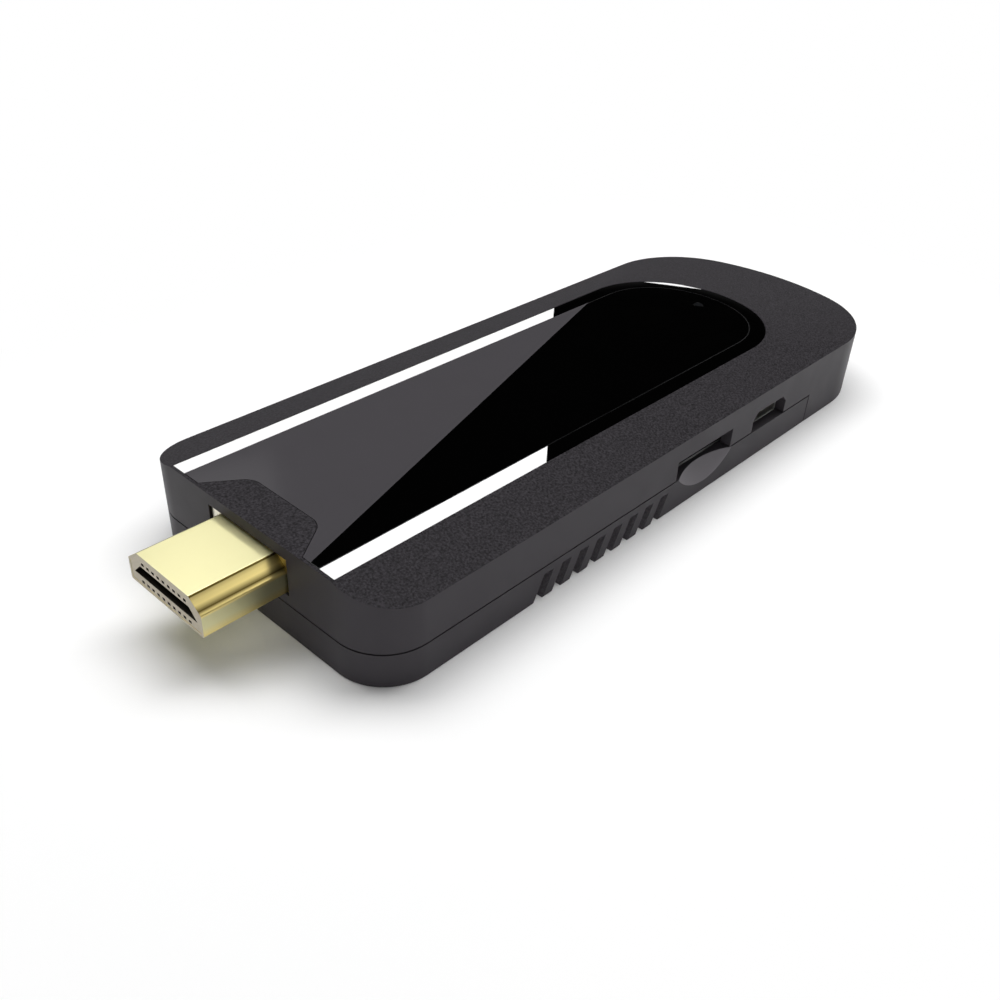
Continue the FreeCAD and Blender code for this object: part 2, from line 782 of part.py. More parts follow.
def hook_pockets():
    """Pockets in the side walls' inner faces for the snap hooks."""
    depth = "over + hook_reach - lip_clear + hook_gap"
    return [block_on(f"hook_pocket_{name}", x, f"{sign} * ({HALF} - wall - over + ({depth}) / 2)",
                     "split_height + hook_drop - hook_gap / 2", "hook_length + 2 * hook_gap", depth,
                     "hook_height + hook_gap")
            for name, x, sign in hook_spots()]


def make_lower_cover(form):
    """Lower moulding: floor, side walls below the seam, locating lip, posts, vents and scoop."""
    inside = "wall + lip_clear + lip_thick"
    under = block("lower_stretch", f"{FRONT} - over", f"{NEAR} - over", "-over",
                  "step_place - seam_gap + over", "body_width + 2 * over", f"{SEAM_LOW} + over")
    low = shared("lower_form", form, under)
    hollow = body_prism("lower_hollow", inside, "floor_thick", "body_height")
    lip_outer = body_prism("lip_outer", "wall + lip_clear", "split_height - over", "lip_rise + over")
    lip_inner = body_prism("lip_inner", inside, "split_height - 2 * over", "lip_rise + 3 * over")
    past_step = block("lip_past_step", f"{FRONT} + step_place - seam_gap", f"{NEAR} - over",
                      "0", "body_length", "body_width + 2 * over", "body_height")
    gaps = socket_blocks("lip_gap", SEAM_LOW, "split_height + lip_rise + over")
    lip = without("lip", lip_outer, [lip_inner, past_step] + gaps)
    tray = without("lower_tray", low, [hollow])
    posts = []
    for end in ("front", "rear"):
        for name, side in mirrored_sides(f"{BOARD_HALF} - post_edge"):
            posts.append(rod(f"post_{end}_{name}", f"{FRONT} + post_{end}_place", side,
                             "floor_thick / 2", "post_across", "board_level - floor_thick / 2"))
    body = joined("lower_solid", [tray, lip, step_tongue()] + posts + snap_hooks())
    usb = block("usb_notch", f"{FRONT} + usb_place - usb_width / 2 - usb_gap",
                f"{HALF} - ({inside}) - over", "usb_level - usb_gap", "usb_width + 2 * usb_gap",
                f"{inside} + 2 * over", "body_height")
    label_half = "label_width / 2"
    label_start = f"{FRONT} + label_place - label_length / 2"
    label_end = f"{FRONT} + label_place + label_length / 2"
    label = prism("label_recess", "XY", "-over", "over + label_depth",
                  [[(label_start, f"-{label_half}", "label_round"),
                    (label_end, f"-{label_half}", "label_round"),
                    (label_end, label_half, "label_round"), (label_start, label_half, "label_round")]])
    finish(without("lower_moulding", body, [usb, label, scoop_tool()] + vent_tools(inside)),
           "lower_cover")


def snap_hooks():
    """Wedges on the lip's outer face, flat below and sloping above."""
    face = f"({HALF} - wall - lip_clear)"
    root = f"({face} - lip_thick / 2)"
    low = "split_height + hook_drop"
    high = f"{low} + hook_height"
    return [prism(f"hook_{name}", "YZ", f"{x} - hook_length / 2", "hook_length",
                  [[(f"{sign} * {root}", low), (f"{sign} * ({face} + hook_reach)", low),
                    (f"{sign} * {face}", high), (f"{sign} * {root}", high)]])
            for name, x, sign in hook_spots()]


def step_tongue():
    """Tongue from the cover's floor that runs under the step, over the nose's floor."""
    end = f"{FRONT} + step_place - seam_gap"
    under = "floor_thick + tongue_clear"
    top = f"{under} + tongue_thick"
    return prism("step_tongue", "XZ", "-tongue_width / 2", "tongue_width",
                 [[(f"{end} - tongue_root", "floor_thick / 2"), (end, "floor_thick / 2"), (end, under),
                   (f"{end} + tongue_reach", under), (f"{end} + tongue_reach", top),
                   (f"{end} - tongue_root", top)]])


def scoop_tool():
    """Shallow bowl under the card slot that lets a fingertip push the card in."""
    ahead = "((scoop_width / 2)^2 - scoop_depth^2) / (2 * scoop_depth)"
    ring = "((scoop_width / 2)^2 + scoop_drop^2) / (2 * scoop_drop)"
    tool = doc.addObject("Part::Sphere", "scoop")
    bind(tool, Radius=f"sqrt(({ring})^2 + ({ahead})^2)")
    place(tool, f"{FRONT} + slot_place + scoop_offset", f"{NEAR} - {ahead}",
          f"{SEAM_LOW} + {ring} - scoop_drop")
    return tool


def vent_tools(depth):
    """Slanted slots on both sides, through the side wall and round the bottom edge."""
    tools = []
    reach = "vent_slant * (vent_height + over) / vent_height"
    length = f"over + {depth} + vent_past"
    for side, level in (("near", f"{NEAR} - over"), ("far", f"{HALF} + over - ({length})")):
        for index in range(int(number("vent_count"))):
            top = f"{FRONT} + vent_place + {index} * vent_pitch"
            corners = [(f"{top} - {reach}", "-over"), (f"{top} - {reach} + vent_width", "-over"),
                       (f"{top} + vent_width", "vent_height"), (top, "vent_height")]
            tools.append(prism(f"vent_{side}_{index + 1}", "XZ", level, length, [corners]))
    return tools


def make_panel():
    """Gloss plate let into the roof, with the hole for the light pipe."""
    plate = panel_form("panel_form", "panel_clear", "body_height - panel_thick", "panel_thick",
                       "panel_clear")
    hole = rod("panel_hole", f"{FRONT} + window_place", "0", "body_height - panel_thick - over",
               "window_across + 2 * pipe_clear", "panel_thick + 2 * over")
    finish(without("panel_cut", plate, [hole]), "top_panel")


def make_light_pipe():
    """Clear rod from just above the status light up to the panel, with a flange under the roof."""
    lamp_top = f"{BOARD_TOP} + light_height + light_lens_height"
    stem = rod("pipe_stem", f"{FRONT} + window_place", "0", f"{lamp_top} + pipe_gap", "window_across",
               f"body_height - ({lamp_top} + pipe_gap)")
    flange = rod("pipe_flange", f"{FRONT} + window_place", "0", f"{CEILING} - pipe_flange_thick",
                 "pipe_flange_across", "pipe_flange_thick")
    finish(joined("pipe", [stem, flange]), "light_pipe")


def make_board():
    """Main board with screw holes, slots for the plug's legs and the notch for the USB-A socket."""
    plate = body_prism("board_plate", "board_inset", "board_level", "board_thick")
    tools = []
    for name, x, y in screw_spots():
        tools.append(rod("board_hole_" + name, x, y, "board_level - over",
                         "screw_across + 2 * screw_clear", "board_thick + 2 * over"))
    usb_y = f"{HALF} - usb_setback - usb_depth - usb_gap"
    tools.append(block("board_usb_notch", f"{FRONT} + usb_place - usb_width / 2 - usb_gap", usb_y,
                       "board_level - over", "usb_width + 2 * usb_gap", HALF, "board_thick + 2 * over"))
    for name, side in mirrored_sides("plug_width / 2 + bracket_gap + bracket_thick / 2"):
        tools.append(block_on("board_leg_slot_" + name,
                              f"{FRONT} + bracket_leg_place + bracket_leg_width / 2", side,
                              "board_level - over", "bracket_leg_width + plug_tunnel_gap",
                              "bracket_thick + plug_tunnel_gap", "board_thick + 2 * over"))
    finish(without("board_cut", plate, tools), "main_board")


def make_screws():
    """Pan-head screws from under the board into the bosses."""
    for name, x, y in screw_spots():
        head = rod("head_" + name, x, y, "board_level - screw_head_thick", "screw_head_across",
                   "screw_head_thick")
        shank = rod("shank_" + name, x, y, "board_level - screw_head_thick / 2", "screw_across",
                    "screw_head_thick / 2 + screw_length")
        finish(joined("screw_" + name, [head, shank]), "board_screw_" + name)


def make_plug():
    """Plug: folded shell, insulator with its slot, two rows of contacts and the rear bracket."""
    shell = prism("plug_tube", "YZ", f"{FRONT} - plug_reach", "plug_reach + plug_inside",
                  [plug_profile("0"), plug_profile("plug_wall")])
    finish(without("plug_tube_open", shell, [fold_line()]), "plug_shell")

    face = f"{FRONT} - plug_reach + plug_face_recess"
    core = prism("plug_core", "YZ", face, "plug_reach + plug_inside - plug_face_recess",
                 [plug_profile("plug_wall")])
    slot_low = f"{PLUG_LEVEL} + plug_slot_level"
    slot_high = f"{slot_low} + plug_slot_height"
    slot = prism("plug_slot", "YZ", f"{face} - over", "plug_slot_depth + over",
                 [[("-plug_slot_width / 2", slot_low), ("plug_slot_width / 2", slot_low),
                   ("plug_slot_top_width / 2", slot_high), ("-plug_slot_top_width / 2", slot_high)]])
    tunnels = []
    contacts = []
    rear = f"{FRONT} + plug_inside"
    for row in ("low", "high"):
        level = f"{PLUG_LEVEL} + plug_{row}_row"
        for index in range(int(number(f"plug_{row}_count"))):
            side = f"({index} - (plug_{row}_count - 1) / 2) * plug_contact_pitch"
            tunnels.append(block(f"tunnel_{row}_{index + 1}", f"{face} - over",
                                 f"{side} - plug_contact_width / 2 - plug_tunnel_gap / 2",
                                 f"{level} - plug_tunnel_gap / 2", "plug_reach + plug_inside + 2 * over",
                                 "plug_contact_width + plug_tunnel_gap",
                                 "plug_contact_thick + plug_tunnel_gap"))
            tip = f"{face} + plug_contact_recess"
            heel = f"{rear} + plug_{row}_tail"
            top = f"{level} + plug_contact_thick"
            foot_top = f"{BOARD_TOP} + plug_contact_thick"
            path = [(tip, level), (heel, level), (heel, BOARD_TOP),
                    (f"{heel} + plug_foot", BOARD_TOP), (f"{heel} + plug_foot", foot_top),
                    (f"{heel} + plug_contact_thick", foot_top), (f"{heel} + plug_contact_thick", top),
                    (tip, top)]
            contacts.append(prism(f"contact_{row}_{index + 1}", "XZ",
                                  f"{side} - plug_contact_width / 2", "plug_contact_width", [path]))
    finish(without("plug_insert", core, [slot] + tunnels), "plug_insulator")
    finish(gathered("plug_pins", contacts), "plug_contacts")
    make_bracket()


def fold_line():
    """Narrow dovetailed gap where the shell's two edges meet underneath."""
    half = "fold_gap / 2"
    front = f"{FRONT} - plug_reach - over"
    rear = f"{FRONT} + plug_inside + over"
    first = f"{FRONT} - plug_reach + fold_start"
    last = f"{first} + fold_length"
    path = [(front, half), (f"{first} - {half}", half),
            (f"{first} - fold_flare - {half}", f"fold_reach + {half}"),
            (f"{last} + fold_flare + {half}", f"fold_reach + {half}"), (f"{last} + {half}", half),
            (rear, half), (rear, f"-{half}"), (f"{last} - {half}", f"-{half}"),
            (f"{last} + fold_flare - {half}", f"fold_reach - {half}"),
            (f"{first} - fold_flare + {half}", f"fold_reach - {half}"), (f"{first} + {half}", f"-{half}"),
            (front, f"-{half}")]
    return prism("fold_line", "XY", f"{PLUG_LEVEL} - over", "over + plug_height / 2", [path])


def make_bracket():
    """Folded bracket: a flange behind the opening, a saddle over the shell and two legs."""
    outer_half = "(plug_width / 2 + bracket_gap + bracket_thick)"
    low = f"{PLUG_LEVEL} - bracket_gap"
    high = f"{PLUG_TOP} + bracket_gap"
    start = f"{FRONT} + bracket_setback"
    flange = prism("bracket_flange_plate", "YZ", start, "bracket_flange",
                   [[(f"-{outer_half} + bracket_thick", low), (f"{outer_half} - bracket_thick", low),
                     (f"{outer_half} - bracket_thick", high), (f"-{outer_half} + bracket_thick", high)],
                    plug_profile("-bracket_clear")])
    saddle_start = f"{FRONT} + wall + bracket_gap"
    saddle_end = f"{start} + bracket_length"
    inner_half = f"({outer_half} - bracket_thick)"
    neck = prism("bracket_neck", "YZ", start, f"{saddle_end} - ({start})",
                 [[(f"-{inner_half}", high), (f"-{inner_half}", f"{high} - bracket_thick / 2"),
                   (f"{inner_half}", f"{high} - bracket_thick / 2"), (f"{inner_half}", high)]])
    saddle = prism("bracket_saddle", "YZ", saddle_start, f"{saddle_end} - ({saddle_start})",
                   [[(f"-{outer_half}", low), (f"-{inner_half}", low),
                     (f"-{inner_half}", f"{high} - bracket_thick / 2"),
                     (f"{inner_half}", f"{high} - bracket_thick / 2"), (inner_half, low),
                     (outer_half, low), (outer_half, high), (f"-{outer_half}", high)]])
    legs = []
    for name, side in mirrored_sides(f"({inner_half} + bracket_thick / 2)"):
        legs.append(block_on("bracket_leg_" + name,
                             f"{FRONT} + bracket_leg_place + bracket_leg_width / 2", side,
                             "board_level - bracket_leg_below", "bracket_leg_width", "bracket_thick",
                             f"{PLUG_LEVEL} + plug_side_height - board_level"))
    finish(joined("bracket", [flange, neck, saddle] + legs), "plug_bracket")


def make_processor_stack():
    """Processor, thermal pad and finned heat sink."""
    x = f"{FRONT} + processor_place"
    y = "processor_side"
    pad_level = f"{BOARD_TOP} + processor_height"
    sink_level = f"{pad_level} + thermal_pad_thick"
    finish(block_on("processor_box", x, y, BOARD_TOP, "processor_across", "processor_across",
                    "processor_height"), "processor")
    finish(block_on("pad_box", x, y, pad_level, "thermal_pad_across", "thermal_pad_across",
                    "thermal_pad_thick"), "thermal_pad")
    body = start_body("sink")
    left = f"{x} - sink_length / 2"
    low = f"{y} - sink_width / 2"
    plan = sketch_in(body, "sink_plan", "XY", sink_level)
    rectangle(plan, left, low, "sink_length", "sink_width")
    base = body.newObject("PartDesign::Pad", "sink_base_plate")
    base.Profile = plan
    bind(base, Length="sink_base")
    fin_plan = sketch_in(body, "sink_fin_plan", "XY", f"{sink_level} + sink_base")
    rectangle(fin_plan, left, low, "sink_length", "sink_fin_thick")
    fin = body.newObject("PartDesign::Pad", "sink_fin")
    fin.Profile = fin_plan
    bind(fin, Length=f"{CEILING} - sink_top_gap - ({sink_level} + sink_base)")
    doc.recompute()
    fins = body.newObject("PartDesign::LinearPattern", "sink_fins")
    fins.Originals = [fin]
    fins.Direction = (fin_plan, ["V_Axis"])
    bind(fins, Length="sink_fin_pitch * (sink_fin_count - 1)", Occurrences="sink_fin_count")
    body.Tip = fins
    finish(body, "heat_sink")


def make_chips():
    """Memory, flash, power chip and crystal."""
    for index, (name, side) in enumerate(mirrored_sides(f"{BOARD_HALF} - memory_edge"), start=1):
        x = f"{FRONT} + memory_place"
        finish(block_on(f"memory_box_{name}", x, side, BOARD_TOP, "memory_length", "memory_width",
                        "memory_height"), f"memory_chip_{index}")
    finish(block_on("flash_box", f"{FRONT} + flash_place", f"{BOARD_HALF} - flash_edge", BOARD_TOP,
                    "flash_length", "flash_width", "flash_height"), "flash_chip")
    finish(block_on("power_box", f"{FRONT} + power_place", f"{BOARD_HALF} - power_edge", BOARD_TOP,
                    "power_across", "power_across", "power_height"), "power_chip")
    finish(block_on("crystal_box", f"{FRONT} + crystal_place", f"crystal_edge - ({BOARD_HALF})",
                    BOARD_TOP, "crystal_length", "crystal_width", "crystal_height"), "crystal")


def make_inductors():
    """Three chokes with cut corners beside the power chip."""
    half = "inductor_across / 2"
    y = f"({BOARD_HALF} - inductor_edge)"
    for index in range(int(number("inductor_count"))):
        x = f"({FRONT} + inductor_place - {index} * inductor_pitch)"
        cut = f"({half} - inductor_chamfer)"
        corners = [(f"{x} - {cut}", f"{y} - {half}"), (f"{x} + {cut}", f"{y} - {half}"),
                   (f"{x} + {half}", f"{y} - {cut}"), (f"{x} + {half}", f"{y} + {cut}"),
                   (f"{x} + {cut}", f"{y} + {half}"), (f"{x} - {cut}", f"{y} + {half}"),
                   (f"{x} - {half}", f"{y} + {cut}"), (f"{x} - {half}", f"{y} - {cut}")]
        finish(prism(f"choke_{index + 1}", "XY", BOARD_TOP, "inductor_height", [corners]),
               f"inductor_{index + 1}")


def make_capacitors():
    """A row of small capacitors along the near edge of the board."""
    items = []
    y = f"capacitor_edge - ({BOARD_HALF})"
    for index in range(int(number("capacitor_count"))):
        x = f"{FRONT} + capacitor_place + {index} * capacitor_pitch"
        items.append(block_on(f"capacitor_{index + 1}", x, y, BOARD_TOP, "capacitor_width",
                              "capacitor_length", "capacitor_height"))
    finish(gathered("capacitor_row", items), "capacitors")


def make_wireless():
    """Wireless module with its shield can, and the stamped antenna at the nose."""
    x = f"{FRONT} + wireless_place"
    y = "wireless_side"
    finish(block_on("wireless_box", x, y, BOARD_TOP, "wireless_across", "wireless_across",
                    "wireless_thick"), "wireless_board")
    level = f"{BOARD_TOP} + wireless_thick"
    across = "(wireless_across - 2 * shield_border)"
    outer = block_on("shield_outer", x, y, level, across, across, "shield_height")
    inner = block_on("shield_inner", x, y, f"{level} - over", f"({across} - 2 * shield_sheet)",
                     f"({across} - 2 * shield_sheet)", "shield_height + over - shield_sheet")
    finish(without("shield", outer, [inner]), "wireless_shield")

    back = f"{FRONT} + body_length - antenna_setback"
    foot_top = f"{BOARD_TOP} + antenna_sheet"
    top = f"{BOARD_TOP} + antenna_height"
    arm_end = f"{back} - antenna_arm"
    web = f"{back} + antenna_foot - antenna_sheet"
    profile = [(back, BOARD_TOP), (f"{back} + antenna_foot", BOARD_TOP),
               (f"{back} + antenna_foot", top), (arm_end, top), (arm_end, f"{top} - antenna_sheet"),
               (web, f"{top} - antenna_sheet"), (web, foot_top), (back, foot_top)]
    strip = prism("antenna_strip", "XZ", "antenna_side - antenna_width / 2", "antenna_width", [profile])
    slot = block("antenna_gap", f"{arm_end} - over", "antenna_side - antenna_slot / 2",
                 f"{top} - over", "antenna_arm + over", "antenna_slot", "2 * over")
    finish(without("antenna_cut", strip, [slot]), "antenna")


def make_status_light():
    """Small light on the board under the light pipe."""
    x = f"{FRONT} + window_place"
    base = block_on("light_base", x, "0", BOARD_TOP, "light_length", "light_width", "light_height")
    lens = block_on("light_lens", x, "0", f"{BOARD_TOP} + light_height", "light_length / 2",
                    "light_width", "light_lens_height")
    finish(joined("light", [base, lens]), "status_led")


def make_micro_usb():
    """Micro-USB socket: folded shell with wings, moulded tongue and five contacts."""
    x = f"{FRONT} + micro_place"
    mouth = f"{NEAR} + micro_setback"
    bottom = f"{BOARD_TOP} + micro_lift"
    top = f"{bottom} + micro_height"
    tube = prism("micro_tube", "XZ", mouth, "micro_depth",
                 [micro_profile("0", bottom, top),
                  micro_profile("-micro_sheet", f"{bottom} + micro_sheet", f"{top} - micro_sheet")])
    wings = []
    for name, side in mirrored_sides("(micro_width + micro_wing) / 2"):
        wings.append(block(f"micro_wing_{name}", f"{x} + ({side}) - micro_wing / 2",
                           f"{mouth} + micro_depth - micro_wing_length", BOARD_TOP, "micro_wing",
                           "micro_wing_length", "micro_lift + micro_sheet"))
    finish(joined("micro_shell", [tube] + wings), "micro_usb_shell")

    block_low = f"{bottom} + micro_sheet"
    rear = f"{mouth} + micro_depth - micro_block_depth"
    plug_body = prism("micro_block", "XZ", rear, "micro_block_depth",
                      [micro_profile("-micro_sheet", block_low, f"{top} - micro_sheet")])
    tongue_level = f"{bottom} + micro_tongue_level"
    tongue = block("micro_slab", f"{x} - micro_tongue_width / 2", f"{mouth} + micro_wing",
                   tongue_level, "micro_tongue_width", f"{rear} - ({mouth} + micro_wing)",
                   "micro_tongue_thick")
    finish(joined("micro_insert", [plug_body, tongue]), "micro_usb_tongue")

    contacts = []
    for index in range(int(number("micro_contact_count"))):
        start = (f"{x} + ({index} - (micro_contact_count - 1) / 2) * micro_contact_pitch"
                 " - micro_contact_width / 2")
        beam = block(f"micro_beam_{index + 1}", start, f"{mouth} + micro_wing + micro_contact_width",
                     f"{tongue_level} - micro_contact_thick", "micro_contact_width",
                     f"{rear} - ({mouth} + micro_wing + micro_contact_width)", "micro_contact_thick")
        tail = block(f"micro_tail_{index + 1}", start, f"{mouth} + micro_depth", BOARD_TOP,
                     "micro_contact_width", "micro_tail", "micro_contact_thick")
        contacts += [beam, tail]
    finish(gathered("micro_pins", contacts), "micro_usb_contacts")


def make_card_socket():
    """Push-push card socket: moulded base, sheet cover, contacts, slider and its spring."""
    left = f"({FRONT} + slot_place + card_offset - card_width / 2)"
    mouth = f"({NEAR} + wall + card_gap)"
    rail_top = f"{BOARD_TOP} + card_height - card_sheet"
    depth = "card_depth"
    rear = f"{mouth} + card_depth - card_rear"
    floor_top = f"{BOARD_TOP} + card_floor"
    track = f"({left} + card_rail + card_passage)"
    track_width = "(card_width - 2 * card_rail - card_passage)"

    plate = block("card_plate", left, mouth, BOARD_TOP, "card_width", depth,
                  "card_height - card_sheet")
    passage = block("card_way", f"{left} + card_rail", f"{mouth} - over", floor_top,
                    "card_width - 2 * card_rail", "card_depth - card_rear + over", "card_height")
    finish(without("card_tray", plate, [passage]), "card_base")

    top = block("card_top", left, mouth, rail_top, "card_width", depth, "card_sheet")
    flaps = []
    for name, edge in (("left", f"{left} - card_sheet"), ("right", f"{left} + card_width")):
        flaps.append(block(f"card_flap_{name}", edge, f"{mouth} + card_rear", BOARD_TOP, "card_sheet",
                           "card_depth - 2 * card_rear", "card_height"))
    finish(joined("card_lid", [top] + flaps), "card_cover")

    contacts = []
    for index in range(int(number("card_contact_count"))):
        x = (f"({left} + card_rail + card_passage / 2"
             f" + ({index} - (card_contact_count - 1) / 2) * card_contact_pitch)")
        start = f"{mouth} + card_contact_place"
        low = floor_top
        thick = "card_contact_thick"
        end = f"{start} + card_contact_length"
        path = [(start, low), (start, f"{low} + {thick}"), (end, f"{low} + card_contact_rise + {thick}"),
                (end, f"{low} + card_contact_rise")]
        body = prism(f"card_beam_{index + 1}", "YZ", f"{x} - card_contact_width / 2",
                     "card_contact_width", [path[::-1]])
        tail = block(f"card_tail_{index + 1}", f"{x} - card_contact_width / 2",
                     f"{mouth} + card_depth", BOARD_TOP, "card_contact_width", "card_tail", thick)
        contacts += [body, tail]
    finish(gathered("card_pins", contacts), "card_contacts")

    slider_low = f"{floor_top} + slider_clear"
    spring_length = "(slider_travel + spring_packed)"
    slider_end = f"{rear} - 2 * spring_clear - {spring_length}"
    slider_start = f"{slider_end} - slider_length"
    bar = block("slider_bar", f"{track} + slider_clear", slider_start, slider_low,
                f"{track_width} - 2 * slider_clear", "slider_length", "slider_height")
    hook = block("slider_hook_tab", f"{track} + slider_clear - slider_hook",
                 f"{slider_end} - slider_hook_length", slider_low,
                 "slider_hook + slider_clear", "slider_hook_length", "slider_height")
    finish(joined("slider", [bar, hook]), "card_slider")

    spring_start = f"{slider_end} + spring_clear"
    spring_x = f"{track} + {track_width} / 2"
    spring_z = f"{slider_low} + slider_height / 2"
    along_y = Rotation(Vector(1, 0, 0), -90)
    coil = rod("spring_outer", spring_x, spring_start, spring_z, "spring_across", spring_length, along_y)
    bore = rod("spring_hole", spring_x, f"{spring_start} - over", spring_z, "spring_bore",
               f"{spring_length} + 2 * over", along_y)
    finish(without("spring", coil, [bore]), "card_spring")


def make_usb():
    """USB-A socket on the far side, let into the board, with its tongue and four contacts."""
    x = f"({FRONT} + usb_place)"
    mouth = f"({HALF} - usb_setback)"
    rear = f"({mouth} - usb_depth)"
    left = f"{x} - usb_width / 2"
    outer = block("usb_outer", left, rear, "usb_level", "usb_width", "usb_depth", "usb_height")
    inner = block("usb_inner", f"{left} + usb_sheet", f"{rear} + usb_sheet", "usb_level + usb_sheet",
                  "usb_width - 2 * usb_sheet", "usb_depth", "usb_height - 2 * usb_sheet")
    windows = []
    leaves = []
    leaf_end = f"({mouth} - usb_leaf_start)"
    leaf_root = f"({leaf_end} - usb_leaf_length)"
    for name, side in mirrored_sides("usb_leaf_side"):
        windows.append(block_on(f"usb_window_{name}", f"{x} + ({side})",
                                f"({leaf_end} + {leaf_root}) / 2", "usb_level - over",
                                "usb_leaf_width + 2 * usb_leaf_gap", "usb_leaf_length",
                                "usb_height + 2 * over"))
        for row, sheet_low, rise in (("low", "usb_level", "usb_leaf_rise"),
                                     ("high", "usb_level + usb_height - usb_sheet", "-usb_leaf_rise")):
            leaves.append(prism(f"usb_leaf_{row}_{name}", "YZ", f"{x} + ({side}) - usb_leaf_width / 2",
                                "usb_leaf_width",
                                [[(f"{leaf_root} - usb_sheet", sheet_low),
                                  (f"{leaf_end} - usb_leaf_gap", f"{sheet_low} + ({rise})"),
                                  (f"{leaf_end} - usb_leaf_gap", f"{sheet_low} + ({rise}) + usb_sheet"),
                                  (f"{leaf_root} - usb_sheet", f"{sheet_low} + usb_sheet")]]))
    tube = without("usb_tube", outer, [inner] + windows)
    wings = []
    for name, side in mirrored_sides("(usb_width + usb_wing) / 2"):
        for end, start in (("front", f"{rear} + usb_block_depth"), ("rear", rear)):
            wings.append(block_on(f"usb_wing_{end}_{name}", f"{x} + ({side})",
                                  f"{start} + usb_wing_length / 2", BOARD_TOP, "usb_wing",
                                  "usb_wing_length", "usb_sheet"))
    finish(joined("usb_can", [tube] + leaves + wings), "usb_shell")

    moulding = block("usb_block", f"{left} + usb_sheet", f"{rear} + usb_sheet",
                     "usb_level + usb_sheet", "usb_width - 2 * usb_sheet", "usb_block_depth",
                     "usb_height - 2 * usb_sheet")
    tongue_start = f"({rear} + usb_sheet + usb_block_depth)"
    tongue = block("usb_slab", f"{x} - usb_tongue_width / 2", tongue_start,
                   "usb_level + usb_tongue_level", "usb_tongue_width", "usb_tongue_length",
                   "usb_tongue_thick")
    finish(joined("usb_insert", [moulding, tongue]), "usb_tongue")

    contacts = []
    for index in range(int(number("usb_contact_count"))):
        start = (f"{x} + ({index} - (usb_contact_count - 1) / 2) * usb_contact_pitch"
                 " - usb_contact_width / 2")
        contacts.append(block(f"usb_beam_{index + 1}", start, tongue_start,
                              "usb_level + usb_tongue_level - usb_contact_thick",
                              "usb_contact_width", "usb_tongue_length - usb_contact_width",
                              "usb_contact_thick"))
        contacts.append(block(f"usb_tail_{index + 1}", start, f"{rear} - usb_gap - usb_tail",
                              BOARD_TOP, "usb_contact_width", "usb_tail + usb_gap",
                              "usb_contact_thick"))
    finish(gathered("usb_pins", contacts), "usb_contacts")


def make_switch():
    """Side-push reset switch: moulded body, cover plate and plunger."""
    x = f"{FRONT} + switch_place"
    face = f"({HALF} - switch_setback)"
    start = f"({face} - switch_depth)"
    height = "(switch_height - switch_sheet)"
    body = block_on("switch_block", x, f"{start} + switch_depth / 2", BOARD_TOP, "switch_width",
                    "switch_depth", height)
    level = f"{BOARD_TOP} + switch_height / 2 - button_height / 2"
    hole = "(button_in + button_travel + button_clear)"
    pocket = block_on("switch_pocket", x, f"{face} - ({hole} - over) / 2", f"{level} - button_clear",
                      "button_width + 2 * button_clear", f"{hole} + over",
                      "button_height + 2 * button_clear")
    finish(without("switch_moulding", body, [pocket]), "switch_body")
    finish(block_on("switch_plate", x, f"{start} + switch_depth / 2", f"{BOARD_TOP} + {height}",
                    "switch_width", "switch_depth", "switch_sheet"), "switch_cover")
    finish(block_on("button", x, f"{face} - button_in + button_length / 2", level, "button_width",
                    "button_length", "button_height"), "switch_plunger")


def build():
    """Makes every piece."""
    form = envelope()
    hollow = crowned_form("hollow", "wall", "floor_thick", "edge_height - wall", CEILING)
    make_upper_housing(form, hollow)
    make_lower_cover(form)
    make_panel()
    make_light_pipe()
    make_board()
    make_screws()
    make_plug()
    make_processor_stack()
    make_chips()
    make_inductors()
    make_capacitors()
    make_wireless()
    make_status_light()
    make_micro_usb()
    make_card_socket()
    make_usb()
    make_switch()
    doc.recompute()


def check():
    """Stops if any object failed or any piece is empty or invalid."""
    for item in doc.Objects:
        failed = {"Invalid", "Error"} & set(item.State)
        if failed:
            raise RuntimeError("%s: %s" % (item.Name, ", ".join(sorted(failed))))
    for piece in PIECES:
        shape = piece.Shape
        if shape.isNull() or not shape.isValid() or not shape.Solids:
            raise RuntimeError("%s has no valid shape" % piece.Label)


def export():
    """Writes one file for each piece."""
    os.makedirs("parts", exist_ok=True)
    for piece in PIECES:
        piece.Shape.exportStep("parts/%s.step" % piece.Label)
        print("%-24s %d solids %9.2f mm3" % (piece.Label, len(piece.Shape.Solids), piece.Shape.Volume))


build()
check()
export()
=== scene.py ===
"""Streaming stick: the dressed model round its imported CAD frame, laid out as an add-on."""
import math

import bmesh
import bpy
from bpy.props import FloatProperty, FloatVectorProperty, IntProperty, PointerProperty
from mathutils import Euler, Matrix, Vector
from mathutils.bvhtree import BVHTree


